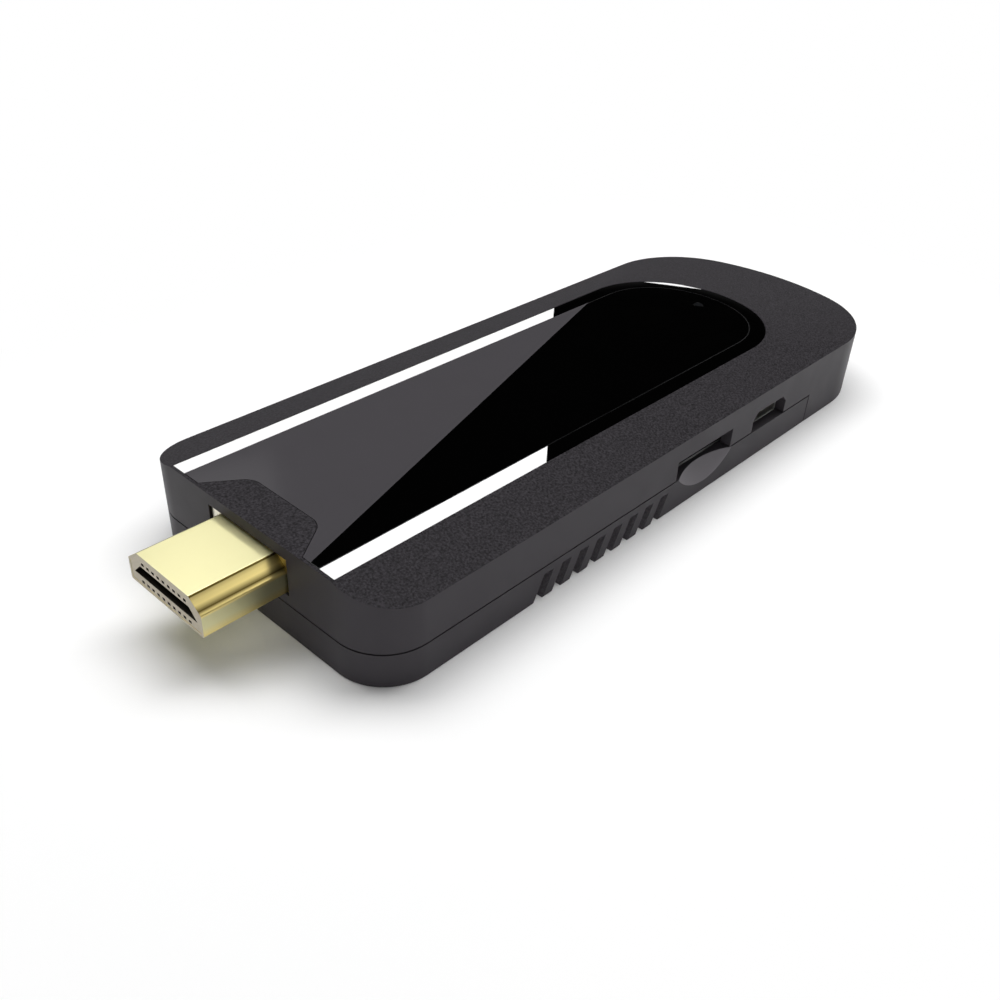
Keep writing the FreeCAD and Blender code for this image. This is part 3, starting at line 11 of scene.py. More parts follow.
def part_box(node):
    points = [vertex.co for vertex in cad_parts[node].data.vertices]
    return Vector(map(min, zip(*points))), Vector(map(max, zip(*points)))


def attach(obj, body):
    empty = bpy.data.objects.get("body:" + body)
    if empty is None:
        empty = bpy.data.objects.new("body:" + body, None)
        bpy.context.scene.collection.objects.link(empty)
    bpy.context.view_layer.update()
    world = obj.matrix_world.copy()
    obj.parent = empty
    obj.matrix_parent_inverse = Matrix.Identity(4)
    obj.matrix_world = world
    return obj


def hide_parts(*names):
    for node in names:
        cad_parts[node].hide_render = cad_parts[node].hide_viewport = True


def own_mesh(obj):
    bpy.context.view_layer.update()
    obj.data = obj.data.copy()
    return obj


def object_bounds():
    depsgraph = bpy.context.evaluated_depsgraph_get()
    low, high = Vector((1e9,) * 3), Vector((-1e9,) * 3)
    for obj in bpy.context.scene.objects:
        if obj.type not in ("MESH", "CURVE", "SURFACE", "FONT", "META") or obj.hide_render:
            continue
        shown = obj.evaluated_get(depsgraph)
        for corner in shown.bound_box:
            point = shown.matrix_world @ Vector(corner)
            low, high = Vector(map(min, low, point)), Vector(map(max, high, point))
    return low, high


bl_info = {
    "name": "Streaming Stick",
    "version": (1, 0, 0),
    "blender": (4, 5, 0),
    "location": "View3D > Sidebar > Stick",
    "description": "Dresses the streaming stick's CAD frame with its shells, panel, plug and finishes",
    "category": "Object",
}

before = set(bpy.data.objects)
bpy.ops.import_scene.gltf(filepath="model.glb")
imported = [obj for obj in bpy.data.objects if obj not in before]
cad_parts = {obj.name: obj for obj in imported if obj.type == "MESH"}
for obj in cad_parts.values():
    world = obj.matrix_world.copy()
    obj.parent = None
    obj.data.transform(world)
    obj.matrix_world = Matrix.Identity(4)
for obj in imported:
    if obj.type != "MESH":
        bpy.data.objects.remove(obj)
CAD_LOW, CAD_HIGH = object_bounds()

MM = 0.001
PANEL_LOW, PANEL_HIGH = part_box("top_panel")
PIPE_LOW, PIPE_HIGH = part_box("light_pipe")
SPRING_LOW, SPRING_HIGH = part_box("card_spring")

# How near two points lie to be merged or two faces to touch, and how short a sliver's edge is.
MERGE_GAP = 0.001 * MM
TOUCH_GAP = 0.01 * MM
SLIVER = 0.002 * MM
# How far off a face a ray starts, and how far a cutting shape reaches past what it cuts.
RAY_LIFT = 0.02 * MM
OVERSHOOT = 1 * MM

# Angles between neighbouring faces that are joined as flat, rounded over, or shaded sharp.
FLAT_ANGLE = math.radians(0.6)
SHELL_ROUND_ANGLE = math.radians(25)
PLUG_ROUND_ANGLE = math.radians(40)
SHARP_ANGLE = math.radians(32)

# How much of a face's normal lies along an axis when the face looks straight that way, or partly.
STRAIGHT = 0.9
PARTLY = 0.5

# Steps round the panel's arcs, its window and its notch's corners, and round the spring and its wire.
CORNER_STEPS = 22
NOSE_STEPS = 20
WINDOW_STEPS = 40
PAD_STEPS = 6
TURN_STEPS = 20
WIRE_STEPS = 8

# Finishes in the order of their material slots: the mouldings', the panel's and the plug's.
SATIN, TEXTURED, SCOOP_PAINTED_LIGHT, SLOTTED = range(4)
FIELD, RIM, WHITE_ZONE, GREY_ZONE, LINE = range(5)
PLUG_BODY, PLUG_TIP = range(2)

# Where the mouldings' finishes change: heights, the scoop's reach past the socket, the vents' depth.
ROOF_START = 10 * MM
SCOOP_TOP = 4.7 * MM
SCOOP_MARGIN = 2 * MM
VENT_TOP = 3.7 * MM
VENT_DEPTH = 1.7 * MM
# Shares of the normal that tell the crowned roof, the scoop's bowl and the vents' walls.
ROOF_RISE = 0.6
BOWL_RISE = 0.1
VENT_OUTWARD = 0.3

# Each lamp's place, the point that it faces, the two sides of its face and its power in watts.
LAMPS = {
    "key": ((0.11, 0.1, 0.55), (0, 0, 0), (0.85, 0.32), 4.6),
    "plug_card": ((0.175, 0.43, 0.37), (-0.057, 0, 0.01), (0.11, 0.11), 0.069),
    "near_fill": ((-0.15, -0.45, 0.5), (0, 0, 0), (0.4, 0.4), 0.6),
}
# The sky glows up to the first height on a ball of radius 1, and is dark from the second one on.
GLOW_END = 0.12
DARK_START = 0.37
GLOW_LEVEL = 0.8
# Half the floor's side in metres. It turns plain white between the two distances from the stick.
FLOOR_REACH = 3.0
SHADOW_REACH = 8 * MM
WHITE_REACH = 60 * MM
WHITE_SHARE = 0.04

# The photograph's viewpoint: place in metres, turns in degrees, lens and sensor in millimetres.
CAMERA_PLACE = (-0.100619, -0.080509, 0.078218)
CAMERA_TURNS = (55.7671, -2.4795, -46.8228)
CAMERA_LENS = 36.758
CAMERA_SENSOR = 36.0
CLIP_NEAR = 0.01
CLIP_FAR = 20.0


def linear(hex_colour):
    """A colour from its sRGB hex value, as linear red, green, blue and alpha."""
    channels = []
    for start in (0, 2, 4):
        value = int(hex_colour[start:start + 2], 16) / 255
        if value <= 0.04045:
            channels.append(value / 12.92)
        else:
            channels.append(((value + 0.055) / 1.055) ** 2.4)
    return (*channels, 1.0)


def length(name, description, default):
    """A length property whose default is in millimetres."""
    return FloatProperty(name=name, description=description, default=default * MM, precision=5,
                         unit="LENGTH")


def colour(name, description, default):
    """A colour property whose default is an sRGB hex value."""
    return FloatVectorProperty(name=name, description=description, default=linear(default), size=4,
                               min=0.0, max=1.0, subtype="COLOR")


class StickSizes(bpy.types.PropertyGroup):
    """Sizes of what the dressed model adds to the frame."""

    shell_edge: length("Shell edge", "Rounding of the mouldings' outer edges", 0.14)
    panel_edge: length("Panel edge", "Rounding of the gloss panel's top edge", 0.3)
    panel_nose: length("Panel nose radius", "Radius of the shallow arc at the panel's end", 16.95)
    panel_corner: length("Panel corner radius", "Radius of the panel's two corner arcs", 13.45)
    rim_width: length("Rim width", "Width of the band round the panel's field", 2.39)
    rim_drop: length("Rim drop", "Fall of the band towards its outer edge", 0.04)
    groove_width: length("Groove width", "Half the width of the fine line inside the band", 0.1)
    groove_depth: length("Groove depth", "Depth of the fine line inside the band", 0.03)
    stripe_end: length("Stripe end", "Where the bright stripes end, on the middle line", -0.25)
    crescent_depth: length("Crescent depth", "Width of the painted reflection at the far edge", 0.95)
    wedge_start: length("Wedge start", "Where the grey field's edge crosses the middle line", -16.24)
    window_hole: length("Window hole", "Radius of the hole round the light pipe", 0.74)
    pad_front: length("Pad front width", "Width of the notch at the front wall", 19.9)
    pad_back: length("Pad back width", "Width of the notch at its inner end", 12.2)
    pad_depth: length("Pad depth", "Depth of the notch from the front wall", 5.55)
    pad_round: length("Pad rounding", "Rounding of the notch's two inner corners", 2.4)
    plug_edge: length("Plug edge", "Rounding of the plug shell's outer edges", 0.03)
    spring_wire: length("Spring wire", "Diameter of the card spring's wire", 0.16)
    spring_turns: IntProperty(name="Spring turns", description="Turns of the card spring", default=9)
    stripe_slope: FloatProperty(name="Stripe slope", description="Slant of the stripes' ends",
                                default=1.206)
    crescent_turn: FloatProperty(name="Crescent turn", description="Where the crescent's middle lies",
                                 default=math.radians(30), subtype="ANGLE")
    wedge_slope: FloatProperty(name="Wedge slope", description="Slant of the grey field's edge",
                               default=0.3135)


class StickColours(bpy.types.PropertyGroup):
    """Colours of the finishes."""

    housing: colour("Housing", "Moulded dark grey of the two mouldings", "2D2B2E")
    # The side walls' grey is lighter than the roof's; part of that difference is painted light.
    side: colour("Side walls", "Smoother grey of the side walls", "3D3A3E")
    scoop: colour("Scoop", "Grey of the thumb scoop, lightened as painted light", "6F6C70")
    vent: colour("Vents", "Grit inside the vent slots, lightened as painted light", "5E5B5F")
    panel: colour("Panel", "Gloss black of the panel", "020202")
    stripe: colour("Stripe", "White of the two stripes and the painted reflection", "FAFAFA")
    wedge: colour("Wedge", "Dark grey of the field's front", "454346")
    groove: colour("Groove", "Dull floor of the fine line in the panel", "070708")
    # The three gold tones paint light and shade into one plating: a highlight on the top, shade on the
    # slopes and a dark line along the folds.
    gold: colour("Gold", "Pale gold, a painted highlight on the plug's top", "FCF6C0")
    gold_deep: colour("Deep gold", "Gold under the painted shade of the plug's slopes", "FBE596")
    gold_fold_shade: colour("Gold fold shade", "Painted dark line along the plug's folds", "4A3E1C")
    insulator: colour("Insulator", "Moulded insulator in the plug", "C2B8A3")
    slot: colour("Slot", "Shaded walls of the plug's slot", "241C0C")
    board: colour("Board", "Solder mask of the board", "12402A")
    floor: colour("Floor", "Floor under the stick", "FAFAFA")


# Nodes and finishes


def add_node(tree, kind, settings=None, inputs=None):
    """Adds a node. Inputs are plain values or the outputs that feed them."""
    node = tree.nodes.new(kind)
    for name, value in (settings or {}).items():
        setattr(node, name, value)
    for name, value in (inputs or {}).items():
        if isinstance(value, bpy.types.NodeSocket):
            tree.links.new(value, node.inputs[name])
        else:
            node.inputs[name].default_value = value
    return node


def start_material(name, base, metallic=0.0, roughness=0.5, ior=1.5):
    """A material with its shader and a coordinate in millimetres on the piece."""
    material = bpy.data.materials.new(name)
    material.use_nodes = True
    tree = material.node_tree
    shader = tree.nodes["Principled BSDF"]
    shader.inputs["Base Color"].default_value = base
    shader.inputs["Metallic"].default_value = metallic
    shader.inputs["Roughness"].default_value = roughness
    if not metallic:
        shader.inputs["IOR"].default_value = ior
    spot = add_node(tree, "ShaderNodeTexCoord")
    scaled = add_node(tree, "ShaderNodeVectorMath", {"operation": "SCALE"},
                      {0: spot.outputs["Object"], "Scale": 1 / MM})
    return material, tree, shader, scaled.outputs[0]


def shade(base, factor):
    """A colour made lighter or darker."""
    return (*(min(1.0, channel * factor) for channel in base[:3]), 1.0)


def spark_textured_abs(name, base, depth=1.0):
    """Moulded ABS from a spark-eroded mould: matt, with a fine even grit that sparkles a little."""
    material, tree, shader, spot = start_material(name, base, roughness=0.62, ior=1.53)
    shader.inputs["Specular IOR Level"].default_value = 0.05
    # Real grit is about 0.1 mm across. It is drawn about 0.3 mm across, so that it shows.
    grit = add_node(tree, "ShaderNodeTexNoise", inputs={"Vector": spot, "Scale": 1 / 0.27,
                                                        "Detail": 2.0, "Roughness": 0.6})
    fleck = add_node(tree, "ShaderNodeTexVoronoi", inputs={"Vector": spot, "Scale": 1 / 0.22})
    ramp = add_node(tree, "ShaderNodeValToRGB", inputs={"Fac": grit.outputs["Fac"]})
    ramp.color_ramp.elements[0].position = 0.32
    ramp.color_ramp.elements[0].color = shade(base, 1 - 0.62 * depth)
    ramp.color_ramp.elements[1].position = 0.68
    ramp.color_ramp.elements[1].color = shade(base, 1 + 0.76 * depth)
    tree.links.new(ramp.outputs["Color"], shader.inputs["Base Color"])
    height = add_node(tree, "ShaderNodeMath", {"operation": "ADD"},
                      {0: grit.outputs["Fac"], 1: fleck.outputs["Distance"]})
    bump = add_node(tree, "ShaderNodeBump", inputs={"Strength": 0.35, "Distance": 0.05 * MM,
                                                    "Height": height.outputs[0]})
    tree.links.new(bump.outputs["Normal"], shader.inputs["Normal"])
    rough = add_node(tree, "ShaderNodeMapRange",
                     inputs={"Value": grit.outputs["Fac"], "From Min": 0.3, "From Max": 0.7,
                             "To Min": 0.54, "To Max": 0.72})
    tree.links.new(rough.outputs["Result"], shader.inputs["Roughness"])
    return material


def satin_abs(name, base):
    """Moulded ABS from a fine-stoned mould: smooth and satin, with a faint flow in its sheen."""
    material, tree, shader, spot = start_material(name, base, roughness=0.42, ior=1.53)
    shader.inputs["Specular IOR Level"].default_value = 0.12
    flow = add_node(tree, "ShaderNodeTexNoise", inputs={"Vector": spot, "Scale": 1 / 9.0,
                                                        "Detail": 3.0, "Distortion": 0.6})
    rough = add_node(tree, "ShaderNodeMapRange",
                     inputs={"Value": flow.outputs["Fac"], "From Min": 0.3, "From Max": 0.7,
                             "To Min": 0.4, "To Max": 0.5})
    tree.links.new(rough.outputs["Result"], shader.inputs["Roughness"])
    # The marks of the stoning are about 0.12 mm across.
    skin = add_node(tree, "ShaderNodeTexNoise", inputs={"Vector": spot, "Scale": 1 / 0.12,
                                                        "Detail": 1.0})
    bump = add_node(tree, "ShaderNodeBump", inputs={"Strength": 0.06, "Distance": 0.02 * MM,
                                                    "Height": skin.outputs["Fac"]})
    tree.links.new(bump.outputs["Normal"], shader.inputs["Normal"])
    return material


def gloss_acrylic(name, base, specular, roughness=0.06):
    """Polished acrylic with the colour behind it: mirror gloss, faint polishing haze."""
    material, tree, shader, spot = start_material(name, base, roughness=roughness, ior=1.49)
    shader.inputs["Specular IOR Level"].default_value = specular
    haze = add_node(tree, "ShaderNodeTexNoise", inputs={"Vector": spot, "Scale": 1 / 6.0,
                                                        "Detail": 4.0, "Roughness": 0.6})
    rough = add_node(tree, "ShaderNodeMapRange",
                     inputs={"Value": haze.outputs["Fac"], "From Min": 0.3, "From Max": 0.7,
                             "To Min": roughness * 0.8, "To Max": roughness * 1.3})
    tree.links.new(rough.outputs["Result"], shader.inputs["Roughness"])
    tone = add_node(tree, "ShaderNodeMix", {"data_type": "RGBA"},
                    {"Factor": haze.outputs["Fac"], "A": shade(base, 0.97), "B": shade(base, 1.03)})
    tree.links.new(tone.outputs["Result"], shader.inputs["Base Color"])
    return material


def plated(name, base, roughness, grain):
    """Plated sheet metal: satin plating over rolled sheet, with a faint grain along X."""
    material, tree, shader, spot = start_material(name, base, metallic=1.0, roughness=roughness)
    drawn = add_node(tree, "ShaderNodeMapping", inputs={"Vector": spot, "Scale": (0.12, 1.0, 1.0)})
    lines = add_node(tree, "ShaderNodeTexNoise",
                     inputs={"Vector": drawn.outputs["Vector"], "Scale": 1 / grain, "Detail": 1.0})
    rough = add_node(tree, "ShaderNodeMapRange",
                     inputs={"Value": lines.outputs["Fac"], "From Min": 0.3, "From Max": 0.7,
                             "To Min": roughness * 0.94, "To Max": roughness * 1.06})
    tree.links.new(rough.outputs["Result"], shader.inputs["Roughness"])
    return material


def gold_sleeve(colours):
    """Gold plating over folded steel, with light and shade painted in by height: pale flats as a
    painted highlight, darker slopes as painted shade, a painted dark line at the folds.
    """
    material = plated("gold_plated_sleeve", colours.gold, roughness=0.32, grain=0.4)
    tree = material.node_tree
    low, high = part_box("plug_shell")
    spot = add_node(tree, "ShaderNodeTexCoord")
    parts = add_node(tree, "ShaderNodeSeparateXYZ", inputs={"Vector": spot.outputs["Object"]})
    rise = add_node(tree, "ShaderNodeMapRange",
                    inputs={"Value": parts.outputs["Z"], "From Min": low.z, "From Max": high.z})
    ramp = add_node(tree, "ShaderNodeValToRGB", inputs={"Fac": rise.outputs["Result"]})
    pale, deep, fold_shade = colours.gold, colours.gold_deep, colours.gold_fold_shade
    # Each height is a share of the plug's own, from its underside to its top.
    # The tones are painted light and shade: the pale top and underside a painted highlight, the darker
    # side and slope tones painted shade and reflection, the fold tone a painted dark line.
    stops = (
        (0.0, pale),  # underside
        (0.03, shade(deep, 0.8)),
        (0.3, shade(pale, 0.66)),  # side
        (0.58, shade(pale, 0.6)),
        # A painted highlight lies just below the lower fold.
        (0.64, shade(deep, 0.8)),  # bright line below the lower fold
        (0.67, shade(deep, 0.8)),
        (0.73, fold_shade),  # lower fold
        (0.83, shade(deep, 0.66)),  # slope
        (0.9, shade(deep, 0.56)),
        (0.96, shade(deep, 0.35)),
        (0.972, fold_shade),  # upper fold
        (0.997, fold_shade),
        (0.9997, pale),  # top
    )
    while len(ramp.color_ramp.elements) < len(stops):
        ramp.color_ramp.elements.new(1.0)
    for stop, (place, tone) in zip(ramp.color_ramp.elements, stops):
        stop.position = place
        stop.color = tone
    tree.links.new(ramp.outputs["Color"], tree.nodes["Principled BSDF"].inputs["Base Color"])
    return material


def gold_bracket(colours):
    """Gold plating over folded steel, with a paler tone painted on the far side: painted light where
    the light is whiter.
    """
    material = plated("gold_plated_bracket", colours.gold, roughness=0.3, grain=0.4)
    tree = material.node_tree
    low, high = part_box("plug_bracket")
    spot = add_node(tree, "ShaderNodeTexCoord")
    parts = add_node(tree, "ShaderNodeSeparateXYZ", inputs={"Vector": spot.outputs["Object"]})
    across = add_node(tree, "ShaderNodeMapRange",
                      inputs={"Value": parts.outputs["Y"], "From Min": low.y, "From Max": high.y})
    # The far side's paler tone is painted light.
    tone = add_node(tree, "ShaderNodeMix", {"data_type": "RGBA"},
                    {"Factor": across.outputs["Result"], "A": colours.gold_deep, "B": linear("E4E0D2")})
    tree.links.new(tone.outputs["Result"], tree.nodes["Principled BSDF"].inputs["Base Color"])
    return material


def moulded(name, base, roughness, grain, strength=0.15):
    """Plain moulded or fired material: matt, with a fine grain and a slight unevenness of tone."""
    material, tree, shader, spot = start_material(name, base, roughness=roughness)
    grains = add_node(tree, "ShaderNodeTexNoise", inputs={"Vector": spot, "Scale": 1 / grain,
                                                          "Detail": 2.0})
    tone = add_node(tree, "ShaderNodeMix", {"data_type": "RGBA"},
                    {"Factor": grains.outputs["Fac"], "A": shade(base, 0.85), "B": shade(base, 1.15)})
    tree.links.new(tone.outputs["Result"], shader.inputs["Base Color"])
    bump = add_node(tree, "ShaderNodeBump", inputs={"Strength": strength, "Distance": 0.02 * MM,
                                                    "Height": grains.outputs["Fac"]})
    tree.links.new(bump.outputs["Normal"], shader.inputs["Normal"])
    return material


def smoked_polycarbonate():
    """Moulded polycarbonate with a smoke tint: clear and polished, dark where it is deep."""
    material, tree, shader, spot = start_material("smoked_polycarbonate", linear("18191B"),
                                                  roughness=0.08, ior=1.585)
    shader.inputs["Transmission Weight"].default_value = 0.15
    cloud = add_node(tree, "ShaderNodeTexNoise", inputs={"Vector": spot, "Scale": 1 / 0.8})
    rough = add_node(tree, "ShaderNodeMapRange",
                     inputs={"Value": cloud.outputs["Fac"], "To Min": 0.06, "To Max": 0.12})
    tree.links.new(rough.outputs["Result"], shader.inputs["Roughness"])
    return material


def solder_mask(colours):
    """Glass laminate under solder mask: glossy, with buried traces that shade it in runs."""
    base = colours.board
    material, tree, shader, spot = start_material("solder_mask_laminate", base, roughness=0.3)
    # Real traces run about 0.3 mm apart. They are drawn 0.9 mm apart, so that they show.
    runs = add_node(tree, "ShaderNodeTexBrick", {"offset": 0.5, "squash": 1.0},
                    {"Vector": spot, "Color1": shade(base, 1.35), "Color2": base,
                     "Mortar": shade(base, 0.75), "Scale": 0.5, "Mortar Size": 0.06,
                     "Brick Width": 3.0, "Row Height": 0.45})
    tree.links.new(runs.outputs["Color"], shader.inputs["Base Color"])
    weave = add_node(tree, "ShaderNodeTexNoise", inputs={"Vector": spot, "Scale": 1 / 0.5})
    bump = add_node(tree, "ShaderNodeBump", inputs={"Strength": 0.1, "Distance": 0.02 * MM,
                                                    "Height": weave.outputs["Fac"]})
    tree.links.new(bump.outputs["Normal"], shader.inputs["Normal"])
    return material


def node_finishes(colours):
    """The finish of every CAD node that shows as it is."""
    contact = plated("gold_plated_bronze", linear("E9C05C"), roughness=0.25, grain=0.3)
    tin = plated("tin_plated_steel", linear("C9C9C6"), roughness=0.35, grain=0.4)
    zinc = plated("zinc_plated_steel", linear("A9ABB0"), roughness=0.4, grain=0.3)
    chip = moulded("moulded_epoxy", linear("1C1C1E"), roughness=0.6, grain=0.15)
    black = moulded("black_glass_filled_polymer", linear("161616"), roughness=0.5, grain=0.2)
    ferrite = moulded("pressed_ferrite", linear("3B3B3D"), roughness=0.7, grain=0.12, strength=0.3)
    pad = moulded("silicone_thermal_pad", linear("8FA3C4"), roughness=0.85, grain=0.3, strength=0.3)
    return {
        "light_pipe": smoked_polycarbonate(),
        "main_board": solder_mask(colours),
        "board_screw_front_near": zinc,
        "board_screw_front_far": zinc,
        "board_screw_rear_near": zinc,
        "board_screw_rear_far": zinc,
        "plug_contacts": contact,
        "plug_bracket": gold_bracket(colours),
        "processor": chip,
        "thermal_pad": pad,
        "heat_sink": plated("extruded_aluminium", linear("C4C6C9"), roughness=0.42, grain=0.25),
        "memory_chip_1": chip,
        "memory_chip_2": chip,
        "flash_chip": chip,
        "power_chip": chip,
        "crystal": tin,
        "inductor_1": ferrite,
        "inductor_2": ferrite,
        "inductor_3": ferrite,
        "capacitors": moulded("fired_ceramic", linear("A98A63"), roughness=0.55, grain=0.1),
        "wireless_board": solder_mask(colours),
        "wireless_shield": tin,
        "antenna": tin,
        "status_led": moulded("lamp_epoxy", linear("E8E6DC"), roughness=0.35, grain=0.2),
        "micro_usb_shell": tin,
        "micro_usb_tongue": black,
        "micro_usb_contacts": contact,
        "card_base": black,
        "card_cover": tin,
        "card_contacts": contact,
        "card_slider": moulded("white_nylon", linear("E4E2DA"), roughness=0.5, grain=0.2),
        "usb_shell": tin,
        "usb_tongue": black,
        "usb_contacts": contact,
        "switch_body": black,
        "switch_cover": tin,
        "switch_plunger": moulded("white_acetal", linear("E9E7E0"), roughness=0.4, grain=0.2),
    }


# Modelling helpers


def cad_copy(node):
    """A merged copy of a CAD node's mesh with its coplanar facets joined."""
    form = bmesh.new()
    form.from_mesh(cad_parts[node].data)
    bmesh.ops.remove_doubles(form, verts=form.verts, dist=MERGE_GAP)
    bmesh.ops.dissolve_limit(form, angle_limit=FLAT_ANGLE, verts=form.verts, edges=form.edges)
    return form


def only_verts(elements):
    """The vertices among an operator's elements."""
    return [item for item in elements if isinstance(item, bmesh.types.BMVert)]


def outer_edges(form, least):
    """Convex edges sharper than an angle that face open air."""
    tree = BVHTree.FromBMesh(form)
    chosen = []
    for edge in form.edges:
        if not edge.is_convex or edge.calc_face_angle(0.0) < least:
            continue
        middle = (edge.verts[0].co + edge.verts[1].co) / 2
        outwards = (edge.link_faces[0].normal + edge.link_faces[1].normal).normalized()
        hit = tree.ray_cast(middle + outwards * RAY_LIFT, outwards)
        if hit[0] is None:
            chosen.append(edge)
    return chosen


def soften(form, width, least=SHELL_ROUND_ANGLE):
    """Rounds the outer edges a little, so that they catch the light."""
    bmesh.ops.bevel(form, geom=outer_edges(form, least), offset=width, offset_type="OFFSET",
                    segments=2, profile=0.5, affect="EDGES", clamp_overlap=True, material=-1)
    bmesh.ops.dissolve_degenerate(form, edges=form.edges[:], dist=SLIVER)


def finished(form, name, materials, body, nodes):
    """Makes a bmesh the object that stands in for some CAD nodes, smooth between its sharp edges."""
    mesh = bpy.data.meshes.new(name)
    for edge in form.edges:
        edge.smooth = edge.calc_face_angle(0.0) < SHARP_ANGLE
    for face in form.faces:
        face.smooth = True
    form.to_mesh(mesh)
    form.free()
    piece = bpy.data.objects.new(name, mesh)
    bpy.context.scene.collection.objects.link(piece)
    for material in materials:
        mesh.materials.append(material)
    even = piece.modifiers.new("even_shading", "WEIGHTED_NORMAL")
    even.keep_sharp = True
    even.weight = 80
    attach(piece, body)
    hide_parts(*nodes)
    return piece


def cut_with(form, tool):
    """Takes one closed bmesh away from another and returns what is left."""
    items = []
    for part in (form, tool):
        mesh = bpy.data.meshes.new("cut")
        part.to_mesh(mesh)
        part.free()
        item = bpy.data.objects.new("cut", mesh)
        bpy.context.scene.collection.objects.link(item)
        items.append(item)
    base, cutter = items
    difference = base.modifiers.new("cut", "BOOLEAN")
    difference.operation = "DIFFERENCE"
    difference.solver = "EXACT"
    difference.object = cutter
    bpy.context.view_layer.update()
    result = bmesh.new()
    result.from_object(base, bpy.context.evaluated_depsgraph_get())
    for item in items:
        mesh = item.data
        bpy.data.objects.remove(item)
        bpy.data.meshes.remove(mesh)
    return result


# Pieces


class StickShells(bpy.types.Operator):
    """Makes the two dark grey mouldings with softened edges, textured on top and satin on the sides,
    with painted light in the scoop and the vents.
    """

    bl_idname = "stick.shells"
    bl_label = "Mouldings"

    def execute(self, context):
        """Dresses both mouldings."""
        sizes = context.scene.stick_sizes
        colours = context.scene.stick_colours
        finishes = [satin_abs("satin_abs", colours.side),
                    spark_textured_abs("spark_textured_abs", colours.housing),
                    # The scoop's lighter grey is painted light.
                    satin_abs("satin_abs_painted_light_in_scoop", colours.scoop),
                    # The vents' lighter grit is painted light.
                    spark_textured_abs("spark_textured_abs_painted_light_in_vents", colours.vent, depth=0.35)]
        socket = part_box("card_base")
        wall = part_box("upper_housing")[1].y
        for node, name in (("upper_housing", "upper_shell"), ("lower_cover", "lower_shell")):
            form = cad_copy(node)
            soften(form, sizes.shell_edge)
            for face in form.faces:
                face.material_index = self.finish_of(face, socket, wall)
            finished(form, name, finishes, "stick", [node])
        return {"FINISHED"}

    def finish_of(self, face, socket, wall):
        """Finish of a face: textured above and below, lighter in the scoop and the vents as painted
        light, satin elsewhere.
        """
        spot = face.calc_center_median()
        normal = face.normal
        if normal.z > ROOF_RISE and spot.z > ROOF_START:
            return TEXTURED
        if normal.z < -STRAIGHT and spot.z < TOUCH_GAP:
            return TEXTURED
        near_socket = socket[0].x - SCOOP_MARGIN < spot.x < socket[1].x + SCOOP_MARGIN
        bowl = normal.z > BOWL_RISE and normal.y < -PARTLY
        if near_socket and bowl and spot.y < 0 and spot.z < SCOOP_TOP:
            return SCOOP_PAINTED_LIGHT
        in_wall = wall - VENT_DEPTH < abs(spot.y) < wall - TOUCH_GAP
        before_socket = spot.x < socket[0].x
        if in_wall and before_socket and spot.z < VENT_TOP and abs(normal.y) < VENT_OUTWARD:
            return SLOTTED
        return SATIN


